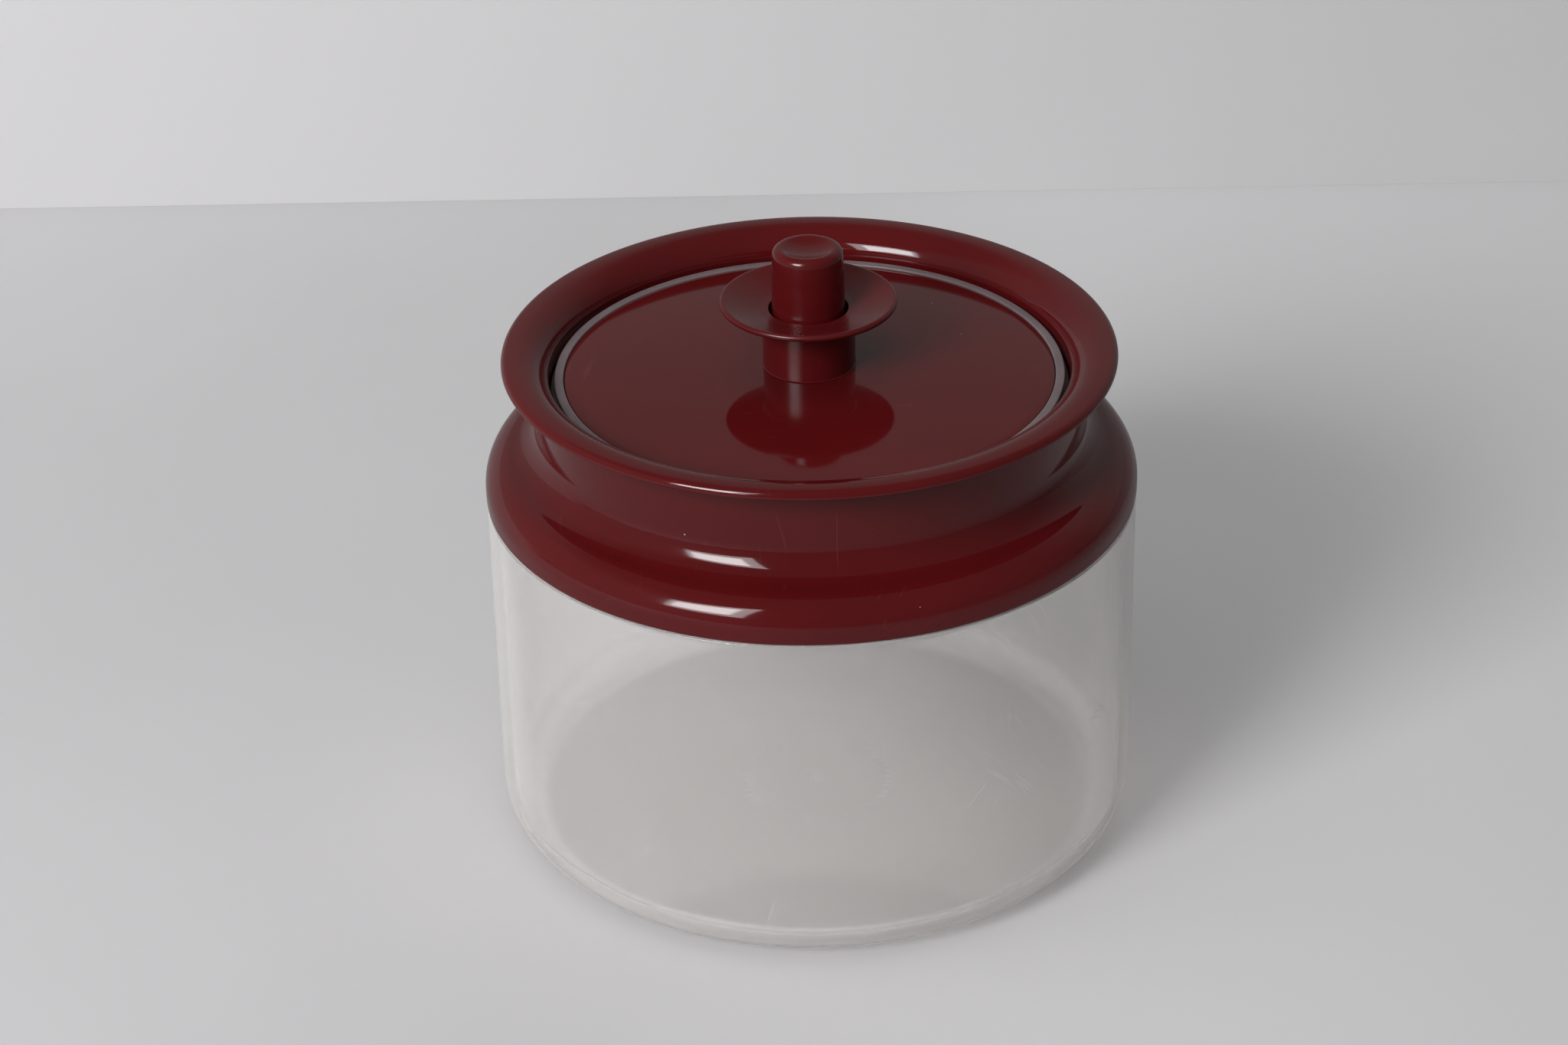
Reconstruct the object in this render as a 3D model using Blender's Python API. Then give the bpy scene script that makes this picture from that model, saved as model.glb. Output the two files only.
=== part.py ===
"""Cookie storage container: a clear round jar, a waisted neck collar and a recessed lid worked by a push knob.

Metres, +Z up. The origin is the centre of the jar's base, and +Z is the axis of every turned piece.
Pressing the plunger lowers the pressure plate, which lets the soft ring round the lid relax.
"""

import math

import bmesh
import bpy
from mathutils import Vector

# Fits shared by all pieces
TOUCH_GAP = 0.0003
SLIDE_GAP = 0.0006

# Counts and angles of the turned shapes
WIDE_SEGMENTS = 48
SLIM_SEGMENTS = 32
ROUND_STEPS = 5
SMALL_ROUND_STEPS = 3
DOME_STEPS = 6
SMOOTH_ANGLE = math.radians(35)

# Jar
JAR_RADIUS = 0.0950
JAR_WALL = 0.0030
JAR_FLOOR = 0.0030
JAR_CORNER_RADIUS = 0.0125
JAR_STEP_HEIGHT = 0.1059
RIM_WALL = 0.0014
RIM_RISE_SHARE = 0.30
FOOT_WIDTH = 0.0080
FOOT_RECESS = 0.0006
GATE_RADIUS = 0.0016
GATE_HEIGHT = 0.0004

# Neck collar
SKIRT_PROUD = 0.0002
SKIRT_BAND = 0.00365
SKIRT_EDGE_RADIUS = 0.0010
COLLAR_WALL = 0.0026
SHOULDER_WIDTH = 0.0161
SHOULDER_ANGLE = math.radians(10)
SHOULDER_ROUND_SHARE = 0.59
WAIST_HEIGHT = 0.02137
LIP_OVERHANG = 0.0097
LIP_THICKNESS = 0.0022
FLARE_ANGLE = math.radians(13.3)
THROAT_RADIUS = 0.0037
UNDERLIP_RADIUS = 0.0040
LEDGE_DEPTH = 0.0190
LEDGE_WIDTH = 0.0029
LEDGE_THICKNESS = 0.0020

# Soft ring
RING_WEB_HEIGHT = 0.0064
RING_REACH = 0.0039
RING_CREVICE = 0.00265
RING_LIP_THICKNESS = 0.00265
RING_LIP_RISE = 0.0020
RING_BULGE_SHARE = 0.45
RING_FOOT_SETBACK = 0.0012

# Lid disc
DISC_THICKNESS = 0.0024
DISC_DOME_RISE = 0.0044
DISC_EDGE_RADIUS = 0.0008
DISC_RIB_WIDTH = 0.0020
DISC_RIB_HEIGHT_SHARE = 0.60
SPIGOT_HEIGHT = 0.0045
SPIGOT_WALL = 0.0018
GUIDE_WALL = 0.0027
GUIDE_LENGTH = 0.0050

# Knob tube and its saucer flange
TUBE_RADIUS = 0.01335
TUBE_WALL = 0.00195
TUBE_HEIGHT = 0.01740
SAUCER_RADIUS = 0.0258
SAUCER_RISE = 0.0027
SAUCER_THICKNESS = 0.0016
SAUCER_FILLET = 0.0020

# Plunger
PLUNGER_CLEARANCE = 0.0009
PLUNGER_TAPER = 0.00035
PLUNGER_STAND = 0.0189
PLUNGER_WALL = 0.0015
PLUNGER_CAP = 0.0020
PLUNGER_CREST_RADIUS = 0.0018
THUMB_DISH_ANGLE = math.radians(21)
PLUNGER_TRAVEL = 0.0040
POST_RADIUS = 0.0040
PILOT_DEPTH = 0.0120

# Return spring
SPRING_WIRE_RADIUS = 0.0005
SPRING_COIL_SHARE = 0.50
SPRING_TURNS = 9
SPRING_END_TURN_SHARE = 0.05
SPRING_POINTS_PER_TURN = 10
SPRING_WIRE_SIDES = 6
SPRING_LEAST_GAP = 0.0004

# Pressure plate and its screw
PLATE_THICKNESS = 0.0024
PLATE_BOSS_WALL = 0.0027
PLATE_BOSS_HEIGHT = 0.0040
PLATE_RIB_SHARE = 0.62
PLATE_RIB_WIDTH = 0.0020
PLATE_RIB_DEPTH = 0.0018
SCREW_RADIUS = 0.0015
SCREW_LENGTH = 0.0100
SCREW_HEAD_RADIUS = 0.0036
SCREW_HEAD_HEIGHT = 0.0022
RECESS_WIDTH = 0.0009
RECESS_SPAN_SHARE = 0.60
RECESS_DEPTH_SHARE = 0.55

# Jar levels and radii that the collar follows
skirt_radius = JAR_RADIUS + SKIRT_PROUD
rim_radius = JAR_RADIUS - JAR_WALL + RIM_WALL
jar_inner_radius = JAR_RADIUS - JAR_WALL
foot_outer_radius = JAR_RADIUS - JAR_CORNER_RADIUS

# Collar levels and radii, from the jar's step up to the lip
waist_radius = skirt_radius - SHOULDER_WIDTH
neck_bore_radius = waist_radius - COLLAR_WALL
lip_radius = waist_radius + LIP_OVERHANG
shoulder_round = SHOULDER_ROUND_SHARE * SHOULDER_WIDTH
skirt_edge_z = JAR_STEP_HEIGHT + TOUCH_GAP
bulge_z = skirt_edge_z + SKIRT_BAND
lap_roof_z = bulge_z + RIM_RISE_SHARE * (shoulder_round - COLLAR_WALL)
rim_top_z = lap_roof_z - TOUCH_GAP
shoulder_run = SHOULDER_WIDTH - 2 * shoulder_round * (1 - math.sin(SHOULDER_ANGLE))
waist_foot_z = bulge_z + 2 * shoulder_round * math.cos(SHOULDER_ANGLE) + shoulder_run * math.tan(SHOULDER_ANGLE)
lip_top_z = waist_foot_z + WAIST_HEIGHT
ledge_z = lip_top_z - LEDGE_DEPTH
ledge_radius = neck_bore_radius - LEDGE_WIDTH

# Soft ring and lid disc, stacked on the ledge
ring_foot_z = ledge_z + TOUCH_GAP
ring_outer_radius = neck_bore_radius - TOUCH_GAP
ring_lip_outer = neck_bore_radius - RING_CREVICE
ring_lip_inner = ring_lip_outer - RING_LIP_THICKNESS
disc_radius = ring_lip_inner - TOUCH_GAP
ring_inner_radius = disc_radius - RING_REACH
ring_web_z = ring_foot_z + RING_WEB_HEIGHT
disc_under_z = ring_web_z + TOUCH_GAP
disc_edge_z = disc_under_z + DISC_THICKNESS
ring_top_z = disc_edge_z + RING_LIP_RISE
dome_radius = (disc_radius ** 2 + DISC_DOME_RISE ** 2) / (2 * DISC_DOME_RISE)

# Knob tube, plunger and plate on the lid's axis
tube_bore = TUBE_RADIUS - TUBE_WALL
pad_radius = TUBE_RADIUS + SLIDE_GAP
plunger_base_radius = tube_bore - PLUNGER_CLEARANCE
plunger_top_radius = plunger_base_radius - PLUNGER_TAPER
guide_bore = POST_RADIUS + TOUCH_GAP
plate_top_z = ring_foot_z - TOUCH_GAP
plate_under_z = plate_top_z - PLATE_THICKNESS
plate_radius = ledge_radius - SLIDE_GAP
post_end_z = plate_top_z + TOUCH_GAP
screw_bore = SCREW_RADIUS + TOUCH_GAP


def dome_z(radius):
    """Height of the lid's domed top at a radius."""
    fall = math.sqrt(dome_radius ** 2 - radius ** 2) - math.sqrt(dome_radius ** 2 - disc_radius ** 2)
    return disc_edge_z + fall


pad_z = dome_z(pad_radius)
tube_foot_z = pad_z + TOUCH_GAP
tube_mouth_z = tube_foot_z + TUBE_HEIGHT
plunger_top_z = tube_mouth_z + PLUNGER_STAND
plunger_skirt_z = pad_z + SPIGOT_HEIGHT + PLUNGER_TRAVEL + SLIDE_GAP
crest_centre_radius = plunger_top_radius - PLUNGER_CREST_RADIUS
dish_edge_radius = crest_centre_radius - PLUNGER_CREST_RADIUS * math.sin(THUMB_DISH_ANGLE)
dish_radius = dish_edge_radius / math.sin(THUMB_DISH_ANGLE)
crest_fall = PLUNGER_CREST_RADIUS * (1 - math.cos(THUMB_DISH_ANGLE))
dish_bottom_z = plunger_top_z - crest_fall - dish_radius * (1 - math.cos(THUMB_DISH_ANGLE))
cap_under_z = dish_bottom_z - PLUNGER_CAP


def principled(name, color, roughness, metallic=0.0, alpha=1.0):
    """A material with one Principled BSDF."""
    material = bpy.data.materials.new(name)
    material.use_nodes = True
    shader = material.node_tree.nodes["Principled BSDF"]
    shader.inputs["Base Color"].default_value = (*color, 1.0)
    shader.inputs["Roughness"].default_value = roughness
    shader.inputs["Metallic"].default_value = metallic
    shader.inputs["Alpha"].default_value = alpha
    material.diffuse_color = (*color, alpha)
    return material


def clear_plastic():
    return principled("clear_plastic", (0.78, 0.77, 0.75), 0.10, alpha=0.30)


def burgundy_plastic(name):
    return principled(name, (0.13, 0.006, 0.010), 0.12)


def soft_rubber():
    return principled("soft_rubber", (0.45, 0.44, 0.45), 0.40, alpha=0.85)


def bare_steel(name):
    return principled(name, (0.62, 0.62, 0.63), 0.28, metallic=1.0)


def arc(centre, radius, start, end, steps):
    """Points (r, z) on an arc, from one angle to another, both ends included."""
    points = []
    for step in range(steps + 1):
        angle = start + (end - start) * step / steps
        points.append((centre[0] + radius * math.cos(angle), centre[1] + radius * math.sin(angle)))
    return points


def turned(name, outline, segments, material):
    """A closed outline of (r, z) points, spun once round +Z into a solid."""
    mesh = bpy.data.meshes.new(name)
    shape = bmesh.new()
    corners = [shape.verts.new((radius, 0.0, height)) for radius, height in outline]
    for first, second in zip(corners, corners[1:] + corners[:1]):
        on_axis = first.co.x == 0.0 and second.co.x == 0.0
        if not on_axis:
            shape.edges.new((first, second))
    bmesh.ops.spin(
        shape,
        geom=shape.verts[:] + shape.edges[:],
        cent=(0.0, 0.0, 0.0),
        axis=(0.0, 0.0, 1.0),
        dvec=(0.0, 0.0, 0.0),
        angle=math.tau,
        steps=segments,
        use_merge=True,
        use_duplicate=False,
    )
    poles = [vert for vert in shape.verts if vert.co.x == 0.0 and vert.co.y == 0.0]
    bmesh.ops.remove_doubles(shape, verts=poles, dist=TOUCH_GAP / 100)
    bmesh.ops.recalc_face_normals(shape, faces=shape.faces[:])
    shape.to_mesh(mesh)
    shape.free()
    return placed(name, mesh, material)


def placed(name, mesh, material):
    """The object of a mesh, smooth across its rounds and sharp at its edges."""
    mesh.shade_smooth()
    mesh.set_sharp_from_angle(angle=SMOOTH_ANGLE)
    mesh.materials.append(material)
    piece = bpy.data.objects.new(name, mesh)
    bpy.context.scene.collection.objects.link(piece)
    return piece


def make_jar():
    """Clear jar with a foot ring, a rounded base corner and a thinner rim inside the collar's skirt."""
    inner_corner = JAR_CORNER_RADIUS - JAR_WALL
    floor_z = FOOT_RECESS + JAR_FLOOR
    foot_inner_radius = foot_outer_radius - FOOT_WIDTH
    outline = [
        (0.0, FOOT_RECESS - GATE_HEIGHT),
        (GATE_RADIUS, FOOT_RECESS - GATE_HEIGHT),
        (GATE_RADIUS + GATE_HEIGHT, FOOT_RECESS),
        (foot_inner_radius - FOOT_RECESS, FOOT_RECESS),
        (foot_inner_radius, 0.0),
    ]
    outline += arc((foot_outer_radius, JAR_CORNER_RADIUS), JAR_CORNER_RADIUS, -math.pi / 2, 0.0, ROUND_STEPS)
    outline += [
        (JAR_RADIUS, JAR_STEP_HEIGHT),
        (rim_radius, JAR_STEP_HEIGHT),
        (rim_radius, rim_top_z),
        (jar_inner_radius, rim_top_z),
    ]
    outline += arc((foot_outer_radius, floor_z + inner_corner), inner_corner, 0.0, -math.pi / 2, ROUND_STEPS)
    outline.append((0.0, floor_z))
    return turned("jar_body", outline, WIDE_SEGMENTS, clear_plastic())


def collar_outside():
    """Outer side of the collar, from its lower edge up to the lip."""
    turn = math.pi / 2 - SHOULDER_ANGLE
    points = arc(
        (skirt_radius - SKIRT_EDGE_RADIUS, skirt_edge_z + SKIRT_EDGE_RADIUS),
        SKIRT_EDGE_RADIUS,
        -math.pi / 2,
        0.0,
        SMALL_ROUND_STEPS,
    )
    points += arc((skirt_radius - shoulder_round, bulge_z), shoulder_round, 0.0, turn, ROUND_STEPS)
    waist_centre = (waist_radius + shoulder_round, waist_foot_z)
    points += arc(waist_centre, shoulder_round, math.pi + turn, math.pi, ROUND_STEPS)
    return points


def lip_round():
    """The flared lip: the fillet under it, its full round edge and the round of the throat."""
    upward = math.pi / 2 + FLARE_ANGLE
    edge_radius = LIP_THICKNESS / 2
    edge_centre = (lip_radius - edge_radius, lip_top_z - edge_radius)
    slope = math.tan(FLARE_ANGLE)
    edge_under = (
        edge_centre[0] - edge_radius * math.cos(upward),
        edge_centre[1] - edge_radius * math.sin(upward),
    )
    edge_over = (
        edge_centre[0] + edge_radius * math.cos(upward),
        edge_centre[1] + edge_radius * math.sin(upward),
    )
    fillet_r = waist_radius + UNDERLIP_RADIUS
    fillet_touch = fillet_r + UNDERLIP_RADIUS * math.cos(upward)
    fillet_z = edge_under[1] - (edge_under[0] - fillet_touch) * slope - UNDERLIP_RADIUS * math.sin(upward)
    throat_r = neck_bore_radius + THROAT_RADIUS
    throat_touch = throat_r + THROAT_RADIUS * math.cos(upward)
    throat_z = edge_over[1] - (edge_over[0] - throat_touch) * slope - THROAT_RADIUS * math.sin(upward)
    points = arc((fillet_r, fillet_z), UNDERLIP_RADIUS, math.pi, upward, SMALL_ROUND_STEPS)
    points += arc(edge_centre, edge_radius, upward - math.pi, upward, ROUND_STEPS)
    points += arc((throat_r, throat_z), THROAT_RADIUS, upward, math.pi, ROUND_STEPS)
    return points


def collar_inside():
    """Bore with the ledge that the lid rests on, then the hollow shoulder and the lap over the jar's rim."""
    turn = math.pi / 2 - SHOULDER_ANGLE
    inner_round = shoulder_round - COLLAR_WALL
    lap_angle = math.asin(RIM_RISE_SHARE)
    points = [
        (neck_bore_radius, ledge_z),
        (ledge_radius, ledge_z),
        (ledge_radius, ledge_z - LEDGE_THICKNESS),
    ]
    points += arc(
        (waist_radius + shoulder_round, waist_foot_z),
        shoulder_round + COLLAR_WALL,
        math.pi,
        math.pi + turn,
        ROUND_STEPS,
    )
    points += arc((skirt_radius - shoulder_round, bulge_z), inner_round, turn, lap_angle, SMALL_ROUND_STEPS)
    points += [
        (rim_radius + TOUCH_GAP, lap_roof_z),
        (rim_radius + TOUCH_GAP, skirt_edge_z),
    ]
    return points


def make_collar():
    """Waisted collar that is cemented over the jar's rim and carries the lid in its bore."""
    outline = collar_outside() + lip_round() + collar_inside()
    return turned("neck_collar", outline, WIDE_SEGMENTS, burgundy_plastic("collar_plastic"))


def make_ring():
    """Soft ring: a web under the lid disc's edge, a bulge that seals the bore and a lip round the disc."""
    bulge_top = ring_foot_z + RING_BULGE_SHARE * RING_WEB_HEIGHT
    bulge_foot = (ring_foot_z + bulge_top) / 2
    lip_round_radius = RING_LIP_THICKNESS / 3
    outline = [
        (ring_inner_radius, ring_foot_z),
        (ring_outer_radius - RING_FOOT_SETBACK, ring_foot_z),
        (ring_outer_radius, bulge_foot),
        (ring_outer_radius, bulge_top),
        (ring_lip_outer, ring_web_z),
    ]
    outline += arc(
        (ring_lip_outer - lip_round_radius, ring_top_z - lip_round_radius),
        lip_round_radius,
        0.0,
        math.pi / 2,
        SMALL_ROUND_STEPS,
    )
    outline += [
        (ring_lip_inner + lip_round_radius, ring_top_z),
        (ring_lip_inner, ring_top_z - 2 * lip_round_radius),
        (ring_lip_inner, ring_web_z),
        (ring_inner_radius, ring_web_z),
    ]
    return turned("gasket_ring", outline, WIDE_SEGMENTS, soft_rubber())


def dome_row(start, end, drop, steps):
    """Points on the dome from one radius to another, lowered by drop."""
    points = []
    for step in range(steps + 1):
        radius = start + (end - start) * step / steps
        points.append((radius, dome_z(radius) - drop))
    return points


def make_lid_disc():
    """Domed lid disc with the tube's spigot, a guide for the post and a rib inside the soft ring."""
    spigot_outer = tube_bore - TOUCH_GAP
    spigot_inner = spigot_outer - SPIGOT_WALL
    guide_outer = guide_bore + GUIDE_WALL
    rib_outer = ring_inner_radius - TOUCH_GAP
    rib_inner = rib_outer - DISC_RIB_WIDTH
    rib_z = disc_under_z - DISC_RIB_HEIGHT_SHARE * RING_WEB_HEIGHT
    outline = [
        (guide_bore, pad_z),
        (spigot_inner, pad_z),
        (spigot_inner, pad_z + SPIGOT_HEIGHT),
        (spigot_outer, pad_z + SPIGOT_HEIGHT),
        (spigot_outer, pad_z),
    ]
    outline += dome_row(pad_radius, disc_radius - DISC_EDGE_RADIUS, 0.0, DOME_STEPS)
    outline += [
        (disc_radius, disc_edge_z - DISC_EDGE_RADIUS),
        (disc_radius, disc_under_z),
        (rib_outer, dome_z(rib_outer) - DISC_THICKNESS),
        (rib_outer, rib_z),
        (rib_inner, rib_z),
    ]
    outline += dome_row(rib_inner, guide_outer, DISC_THICKNESS, DOME_STEPS)
    outline += [
        (guide_outer, dome_z(guide_outer) - DISC_THICKNESS - GUIDE_LENGTH),
        (guide_bore, dome_z(guide_outer) - DISC_THICKNESS - GUIDE_LENGTH),
    ]
    return turned("lid_disc", outline, WIDE_SEGMENTS, burgundy_plastic("disc_plastic"))


def make_knob_tube():
    """Tube that stands on the lid disc, with the shallow saucer flange that two fingers pull."""
    half = SAUCER_THICKNESS / 2
    dish_run = SAUCER_RADIUS - half - TUBE_RADIUS
    dish_arc_radius = (dish_run ** 2 + SAUCER_RISE ** 2) / (2 * SAUCER_RISE)
    rim_angle = math.asin(dish_run / dish_arc_radius)
    dish_centre = (TUBE_RADIUS, tube_mouth_z + dish_arc_radius)
    under_radius = dish_arc_radius + SAUCER_THICKNESS
    root_angle = math.asin(SAUCER_FILLET / under_radius)
    fillet_centre = (
        TUBE_RADIUS + SAUCER_FILLET,
        dish_centre[1] - under_radius * math.cos(root_angle) - SAUCER_FILLET,
    )
    down = -math.pi / 2
    edge_centre = (
        dish_centre[0] + (dish_arc_radius + half) * math.sin(rim_angle),
        dish_centre[1] - (dish_arc_radius + half) * math.cos(rim_angle),
    )
    outline = [(tube_bore, tube_foot_z), (TUBE_RADIUS, tube_foot_z)]
    outline += arc(fillet_centre, SAUCER_FILLET, math.pi, math.pi / 2, SMALL_ROUND_STEPS)
    outline += arc(dish_centre, under_radius, down + root_angle, down + rim_angle, ROUND_STEPS)[1:-1]
    outline += arc(edge_centre, half, down + rim_angle, rim_angle + math.pi / 2, SMALL_ROUND_STEPS + 1)
    outline += arc(dish_centre, dish_arc_radius, down + rim_angle, down, ROUND_STEPS)[1:]
    outline.append((tube_bore, tube_mouth_z))
    return turned("knob_tube", outline, SLIM_SEGMENTS, burgundy_plastic("tube_plastic"))


def make_plunger():
    """Hollow push button with a thumb dish, and the long post that carries the pressure plate."""
    inner_radius = plunger_top_radius - PLUNGER_WALL
    dish_centre = (0.0, dish_bottom_z + dish_radius)
    down = -math.pi / 2
    dish = arc(dish_centre, dish_radius, down, down + THUMB_DISH_ANGLE, ROUND_STEPS)
    dish[0] = (0.0, dish_bottom_z)
    outline = dish[:-1]
    outline += arc(
        (crest_centre_radius, plunger_top_z - PLUNGER_CREST_RADIUS),
        PLUNGER_CREST_RADIUS,
        math.pi / 2 + THUMB_DISH_ANGLE,
        0.0,
        ROUND_STEPS,
    )
    outline += [
        (plunger_base_radius, plunger_skirt_z),
        (inner_radius, plunger_skirt_z),
        (inner_radius, cap_under_z),
        (POST_RADIUS, cap_under_z),
        (POST_RADIUS, post_end_z),
        (screw_bore, post_end_z),
        (screw_bore, post_end_z + PILOT_DEPTH),
        (0.0, post_end_z + PILOT_DEPTH + screw_bore),
    ]
    return turned("plunger", outline, SLIM_SEGMENTS, burgundy_plastic("plunger_plastic"))


def spring_route(foot_z, head_z, coil_radius):
    """Points of the spring's helix: one closed turn at each end and open turns between them."""
    open_share = (1 - 2 * SPRING_END_TURN_SHARE) / (SPRING_TURNS - 2)
    turn_shares = [SPRING_END_TURN_SHARE] + [open_share] * (SPRING_TURNS - 2) + [SPRING_END_TURN_SHARE]
    points = []
    risen = 0.0
    for share in turn_shares:
        for step in range(SPRING_POINTS_PER_TURN):
            angle = math.tau * step / SPRING_POINTS_PER_TURN
            height = foot_z + (head_z - foot_z) * (risen + share * step / SPRING_POINTS_PER_TURN)
            points.append(Vector((coil_radius * math.cos(angle), coil_radius * math.sin(angle), height)))
        risen += share
    points.append(Vector((coil_radius, 0.0, head_z)))
    return points


def least_turn_gap(points):
    """Least clear distance between points of the wire that lie more than half a turn apart."""
    least = math.inf
    for index, first in enumerate(points):
        for second in points[index + SPRING_POINTS_PER_TURN // 2:]:
            least = min(least, (first - second).length - 2 * SPRING_WIRE_RADIUS)
    return least


def wire_ring(shape, centre, along):
    """One ring of corners round a point of the wire, square to the way the wire runs."""
    outward = Vector((centre.x, centre.y, 0.0)).normalized()
    upward = along.cross(outward).normalized()
    ring = []
    for side in range(SPRING_WIRE_SIDES):
        angle = math.tau * side / SPRING_WIRE_SIDES
        offset = outward * math.cos(angle) + upward * math.sin(angle)
        ring.append(shape.verts.new(centre + SPRING_WIRE_RADIUS * offset))
    return ring


def make_spring():
    """Steel spring round the post, between the lid disc and the plunger's cap."""
    room_inner = POST_RADIUS
    room_outer = plunger_top_radius - PLUNGER_WALL
    coil_radius = room_inner + SPRING_COIL_SHARE * (room_outer - room_inner)
    foot_z = pad_z + TOUCH_GAP + SPRING_WIRE_RADIUS
    head_z = cap_under_z - TOUCH_GAP - SPRING_WIRE_RADIUS
    points = spring_route(foot_z, head_z, coil_radius)
    gap = least_turn_gap(points)
    wanted = SPRING_LEAST_GAP * 1000
    print(f"return_spring: least gap {gap * 1000:.2f} mm, wanted over {wanted:.2f} mm")
    shape = bmesh.new()
    last = len(points) - 1
    rings = []
    for index, point in enumerate(points):
        along = (points[min(index + 1, last)] - points[max(index - 1, 0)]).normalized()
        rings.append(wire_ring(shape, point, along))
    for lower, upper in zip(rings, rings[1:]):
        for side in range(SPRING_WIRE_SIDES):
            after = (side + 1) % SPRING_WIRE_SIDES
            shape.faces.new((lower[side], lower[after], upper[after], upper[side]))
    shape.faces.new(rings[0])
    shape.faces.new(rings[last])
    bmesh.ops.recalc_face_normals(shape, faces=shape.faces[:])
    mesh = bpy.data.meshes.new("return_spring")
    shape.to_mesh(mesh)
    shape.free()
    return placed("return_spring", mesh, bare_steel("spring_steel"))


def make_pressure_plate():
    """Flat plate that squeezes the soft ring from below, with a boss for the post and a stiffening rib."""
    boss_inner = guide_bore
    boss_outer = boss_inner + PLATE_BOSS_WALL
    rib_middle = PLATE_RIB_SHARE * plate_radius
    rib_inner = rib_middle - PLATE_RIB_WIDTH / 2
    rib_outer = rib_middle + PLATE_RIB_WIDTH / 2
    outline = [
        (screw_bore, plate_under_z),
        (rib_inner, plate_under_z),
        (rib_inner, plate_under_z - PLATE_RIB_DEPTH),
        (rib_outer, plate_under_z - PLATE_RIB_DEPTH),
        (rib_outer, plate_under_z),
        (plate_radius, plate_under_z),
        (plate_radius, plate_top_z),
        (boss_outer, plate_top_z),
        (boss_outer, plate_top_z + PLATE_BOSS_HEIGHT),
        (boss_inner, plate_top_z + PLATE_BOSS_HEIGHT),
        (boss_inner, plate_top_z),
        (screw_bore, plate_top_z),
    ]
    return turned("pressure_plate", outline, WIDE_SEGMENTS, burgundy_plastic("plate_plastic"))


def block(name, size_x, size_y, low_z, high_z):
    """A box centred on the axis, used only to cut."""
    mesh = bpy.data.meshes.new(name)
    shape = bmesh.new()
    bmesh.ops.create_cube(shape, size=1.0)
    bmesh.ops.scale(shape, vec=(size_x, size_y, high_z - low_z), verts=shape.verts[:])
    bmesh.ops.translate(shape, vec=(0.0, 0.0, (low_z + high_z) / 2), verts=shape.verts[:])
    shape.to_mesh(mesh)
    shape.free()
    cutter = bpy.data.objects.new(name, mesh)
    bpy.context.scene.collection.objects.link(cutter)
    cutter.hide_render = True
    cutter.display_type = "WIRE"
    return cutter


def make_screw():
    """Pan head screw that holds the plate to the post, with a cross recess in its head."""
    head_top_z = plate_under_z - TOUCH_GAP
    head_foot_z = head_top_z - SCREW_HEAD_HEIGHT
    head_round = SCREW_HEAD_HEIGHT / 3
    outline = [(0.0, head_foot_z), (SCREW_HEAD_RADIUS - head_round, head_foot_z)]
    outline += [
        (SCREW_HEAD_RADIUS, head_foot_z + head_round),
        (SCREW_HEAD_RADIUS, head_top_z),
        (SCREW_RADIUS, head_top_z),
        (SCREW_RADIUS, head_top_z + SCREW_LENGTH - SCREW_RADIUS),
        (0.0, head_top_z + SCREW_LENGTH),
    ]
    screw = turned("plate_screw", outline, SLIM_SEGMENTS // 2, bare_steel("screw_steel"))
    span = 2 * RECESS_SPAN_SHARE * SCREW_HEAD_RADIUS
    low_z = head_foot_z - TOUCH_GAP
    high_z = head_foot_z + RECESS_DEPTH_SHARE * SCREW_HEAD_HEIGHT
    for name, size_x, size_y in (("recess_x", span, RECESS_WIDTH), ("recess_y", RECESS_WIDTH, span)):
        cut = screw.modifiers.new(name, "BOOLEAN")
        cut.operation = "DIFFERENCE"
        cut.solver = "EXACT"
        cut.object = block(name, size_x, size_y, low_z, high_z)
    return screw


def carried_by(carrier, pieces):
    """Hangs pieces on an empty, which carries them along the axis."""
    for piece in pieces:
        piece.parent = carrier


def axis_empty(name, height):
    """An empty on the axis, at the height where its moving pieces are carried."""
    empty = bpy.data.objects.new(name, None)
    bpy.context.scene.collection.objects.link(empty)
    empty.empty_display_size = TUBE_RADIUS
    empty.location = (0.0, 0.0, height)
    return empty


def main():
    for old in list(bpy.data.objects):
        bpy.data.objects.remove(old, do_unlink=True)
    make_jar()
    make_collar()
    lid_pieces = [make_ring(), make_lid_disc(), make_knob_tube(), make_spring()]
    plunger_pieces = [make_plunger(), make_pressure_plate(), make_screw()]
    lid_axis = axis_empty("lid_axis", 0.0)
    plunger_axis = axis_empty("plunger_axis", 0.0)
    carried_by(lid_axis, lid_pieces + [plunger_axis])
    carried_by(plunger_axis, plunger_pieces)
    bpy.context.view_layer.update()


main()
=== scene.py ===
"""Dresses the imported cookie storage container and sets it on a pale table, seen as it was photographed."""

import math

import bmesh
import bpy
from bpy.props import FloatProperty, FloatVectorProperty, IntProperty, PointerProperty
from mathutils import Matrix, Vector


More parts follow.
